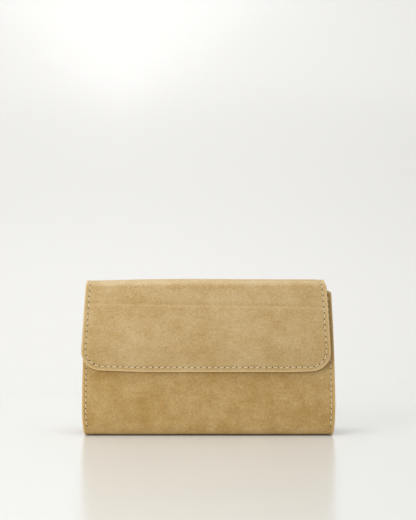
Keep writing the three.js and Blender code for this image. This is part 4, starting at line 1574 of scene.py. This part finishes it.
def teeth_tree():
    """Teeth at even steps along a line, every other one turned to face the last."""
    tree, take = repeat_tree("zip_teeth_row", Tooth="Object", Count="Int", Lean="Float",
                             Metal="Material")
    line = tree.node("GeometryNodeMeshToCurve", {}, take["Geometry"])
    points = tree.node("GeometryNodeResampleCurve", {"mode": "COUNT"}, curve=line,
                       count=take["Count"])
    tooth = tree.node("GeometryNodeObjectInfo", {}, object=take["Tooth"], out="Geometry")
    odd = every_other(tree, tree.node("GeometryNodeInputIndex"))
    angles = tree.node("ShaderNodeCombineXYZ", {}, take["Lean"], odd * math.pi, 0.0)
    turn = tree.node("FunctionNodeEulerToRotation", {}, angles)
    teeth = tree.node("GeometryNodeInstanceOnPoints", {}, points=points, instance=tooth,
                      rotation=turn)
    return ends_in(tree, real(tree, teeth, take["Metal"]))


def grown(carrier, group, values, name):
    """Runs a node tree on a carrier and keeps its result as a plain mesh."""
    modifier = carrier.modifiers.new(name, "NODES")
    modifier.node_group = group
    for item in group.interface.items_tree:
        if item.in_out == "INPUT" and item.name in values:
            modifier[item.identifier] = values[item.name]
    ready = carrier.evaluated_get(bpy.context.evaluated_depsgraph_get())
    result = bpy.data.meshes.new_from_object(ready)
    line = carrier.data
    carrier.modifiers.remove(modifier)
    carrier.data = result
    result.name = name
    bpy.data.meshes.remove(line)
    if len(result.polygons) == 0:
        raise RuntimeError(f"{name} came out empty")
    result.polygons.foreach_set("use_smooth", [True] * len(result.polygons))


class WALLET_OT_zip(bpy.types.Operator):
    """Make the zip of the inner pocket: tapes, teeth, stops, slider and puller"""
    bl_idname = "wallet.zip"
    bl_label = "Zip and pocket"

    def execute(self, context):
        reach = TEETH_HIGH.x + 0.006
        zip_cloth("zip_tape_above", "zip_tape_upper", "tape", reach,
                  ZIP_Z + GAP, ZIP_Z + TAPE_WIDE, TAPE_IN, TAPE_T, 0.0)
        zip_cloth("zip_tape_below", "zip_tape_lower", "tape", reach,
                  ZIP_Z - TAPE_WIDE, ZIP_Z - GAP, TAPE_IN, TAPE_T, 0.0)
        low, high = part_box("pocket_bag")
        zip_cloth("pocket_cloth", "pocket_bag", "lining", high.x, low.z, high.z,
                  POCKET_IN, LINING, 0.0001)
        place = BACK.at(ZIP_Z)
        ends = [set_in(x, place, TEETH_IN) for x in (TEETH_LOW.x + 0.0004, TEETH_HIGH.x - 0.0004)]
        mesh = bpy.data.meshes.new("teeth_line")
        mesh.from_pydata(ends, [(0, 1)], [])
        carrier = linked("zip_tooth_row", mesh)
        tooth = linked("zip_tooth", tooth_mesh())
        count = int(round((TEETH_HIGH.x - TEETH_LOW.x) / TOOTH_PITCH))
        values = {"Tooth": tooth, "Count": count, "Lean": math.atan2(place[3], place[2]),
                  "Metal": material("metal")}
        grown(carrier, teeth_tree(), values, "zip_tooth_row")
        bpy.data.objects.remove(tooth)
        carrier.data.set_sharp_from_angle(angle=math.radians(35))
        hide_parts("zip_teeth")
        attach(carrier, "case")
        softened("zip_stop_left", "zip_stop_left_cap", 0.0004, "case")
        softened("zip_stop_right", "zip_stop_right_cap", 0.0004, "case")
        softened("zip_slider", "zip_slider_body", 0.00028, "slider")
        softened("zip_puller", "zip_puller_tab", 0.00022, "puller")
        return {"FINISHED"}


CARD_IN = 0.00145
CARD_T = 0.0002


class WALLET_OT_boards(bpy.types.Operator):
    """Make the board in the flap, and finish the other boards and the snap's washer"""
    bl_idname = "wallet.boards"
    bl_label = "Boards"

    def execute(self, context):
        carried_over(("socket_washer",), "steel")
        carried_over(("front_board", "back_board", "base_board"), "board")
        flat, normal, maps, down, _ = flap_surface(0.006)
        rows = split_at(down, 0.004, FLAP_LENGTH - 0.006)
        outer = settled(flat - normal * CARD_IN)
        inner = settled(flat - normal * (CARD_IN + CARD_T))
        made = closed_sheet("flap_card", outer[rows], inner[rows], cut(maps, rows),
                            ("board", "board", "board"))
        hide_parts("flap_board")
        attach(made, "flap")
        return {"FINISHED"}


# ------------------------------------------------------------------ stage
SENSOR_MM = 36
WALLET_MIDDLE = (0, 0, 0.06)


def area_light(name, place, target, size, power, colour=(1, 1, 1)):
    data = bpy.data.lights.new(name, "AREA")
    data.shape = "RECTANGLE"
    data.size, data.size_y = size
    data.energy = power
    data.color = colour
    lamp = linked(name, data)
    lamp.location = place
    lamp.rotation_euler = (Vector(target) - Vector(place)).to_track_quat("-Z", "Y").to_euler()


def sweep_mesh():
    """A floor that curves up into a backdrop behind the wallet."""
    floor_end, radius, high = 0.32, 0.9, 2.6
    line = [(-3.0, 0.0), (-0.5, 0.0), (0.1, 0.0), (floor_end, 0.0)]
    line += [(floor_end + radius * math.sin(a), radius - radius * math.cos(a))
             for a in np.linspace(0, math.pi / 2, 40)[1:]]
    line += [(floor_end + radius, high)]
    verts = [(x, y, z) for y, z in line for x in (-3.5, 3.5)]
    faces = [(2 * k, 2 * k + 1, 2 * k + 3, 2 * k + 2) for k in range(len(line) - 1)]
    mesh = bpy.data.meshes.new("stage_sweep")
    mesh.from_pydata(verts, [], faces)
    mesh.polygons.foreach_set("use_smooth", [True] * len(faces))
    return mesh


class WALLET_OT_stage(bpy.types.Operator):
    """Set the camera, the lamps and the pale paper sweep"""
    bl_idname = "wallet.stage"
    bl_label = "Stage"

    def execute(self, context):
        scene = context.scene
        settings = scene.wallet_stage
        data = bpy.data.cameras.new("camera")
        data.lens = settings.lens
        data.sensor_width = SENSOR_MM
        camera = linked("camera", data)
        distance = settings.frame_height * data.lens / data.sensor_width
        camera.location = (-0.0005, FLAP_LOW.y - distance, settings.eye_height)
        camera.rotation_euler = (math.pi / 2, 0, 0)
        scene.camera = camera
        sweep = linked("stage_sweep", sweep_mesh())
        sweep.data.materials.append(material("paper"))
        world = bpy.data.worlds.new("soft_room")
        world.use_nodes = True
        room = Tree(world.node_tree)
        glow = world.node_tree.nodes["Background"]
        seen = room.node("ShaderNodeLightPath", {}, out="Is Camera Ray")
        room.tree.links.new((0.46 + seen * 0.38).socket, glow.inputs["Strength"])
        glow.inputs["Color"].default_value = (1.0, 0.985, 0.96, 1)
        scene.world = world
        area_light("key", (-0.8, -0.75, 0.45), WALLET_MIDDLE, (0.7, 0.7), 6.3, (1.0, 0.98, 0.95))
        area_light("overhead", (-0.1, -0.1, 1.5), WALLET_MIDDLE, (1.4, 1.0), 10)
        area_light("backdrop", (0, -0.1, 2.2), (0, 1.2, 1.0), (2.4, 1.2), 9.1)
        scene.view_settings.view_transform = "Standard"
        scene.view_settings.look = "None"
        return {"FINISHED"}


# ------------------------------------------------------------------ panel and run
OPERATORS = (
    WALLET_OT_stage,
    WALLET_OT_body,
    WALLET_OT_gussets,
    WALLET_OT_flap,
    WALLET_OT_linings,
    WALLET_OT_stitching,
    WALLET_OT_snap,
    WALLET_OT_zip,
    WALLET_OT_boards,
)


class WALLET_PT_pieces(bpy.types.Panel):
    """The wallet's pieces and their settings"""
    bl_idname = "WALLET_PT_pieces"
    bl_label = "Clutch wallet"
    bl_space_type = "VIEW_3D"
    bl_region_type = "UI"
    bl_category = "Wallet"

    def draw(self, context):
        column = self.layout.column()
        for operator in OPERATORS:
            column.operator(operator.bl_idname)
        scene = context.scene
        for group in (scene.wallet_finish, scene.wallet_sewing, scene.wallet_stage):
            for name in group.__annotations__:
                column.prop(group, name)


CLASSES = (WalletFinish, WalletSewing, WalletStage, *OPERATORS, WALLET_PT_pieces)


def register():
    for item in CLASSES:
        bpy.utils.register_class(item)
    bpy.types.Scene.wallet_finish = bpy.props.PointerProperty(type=WalletFinish)
    bpy.types.Scene.wallet_sewing = bpy.props.PointerProperty(type=WalletSewing)
    bpy.types.Scene.wallet_stage = bpy.props.PointerProperty(type=WalletStage)


def unregister():
    del bpy.types.Scene.wallet_stage
    del bpy.types.Scene.wallet_sewing
    del bpy.types.Scene.wallet_finish
    for item in reversed(CLASSES):
        bpy.utils.unregister_class(item)


def main():
    register()
    bpy.ops.wallet.stage()
    bpy.ops.wallet.body()
    bpy.ops.wallet.gussets()
    bpy.ops.wallet.flap()
    bpy.ops.wallet.linings()
    bpy.ops.wallet.stitching()
    bpy.ops.wallet.snap()
    bpy.ops.wallet.zip()
    bpy.ops.wallet.boards()


if __name__ == "__main__":
    main()
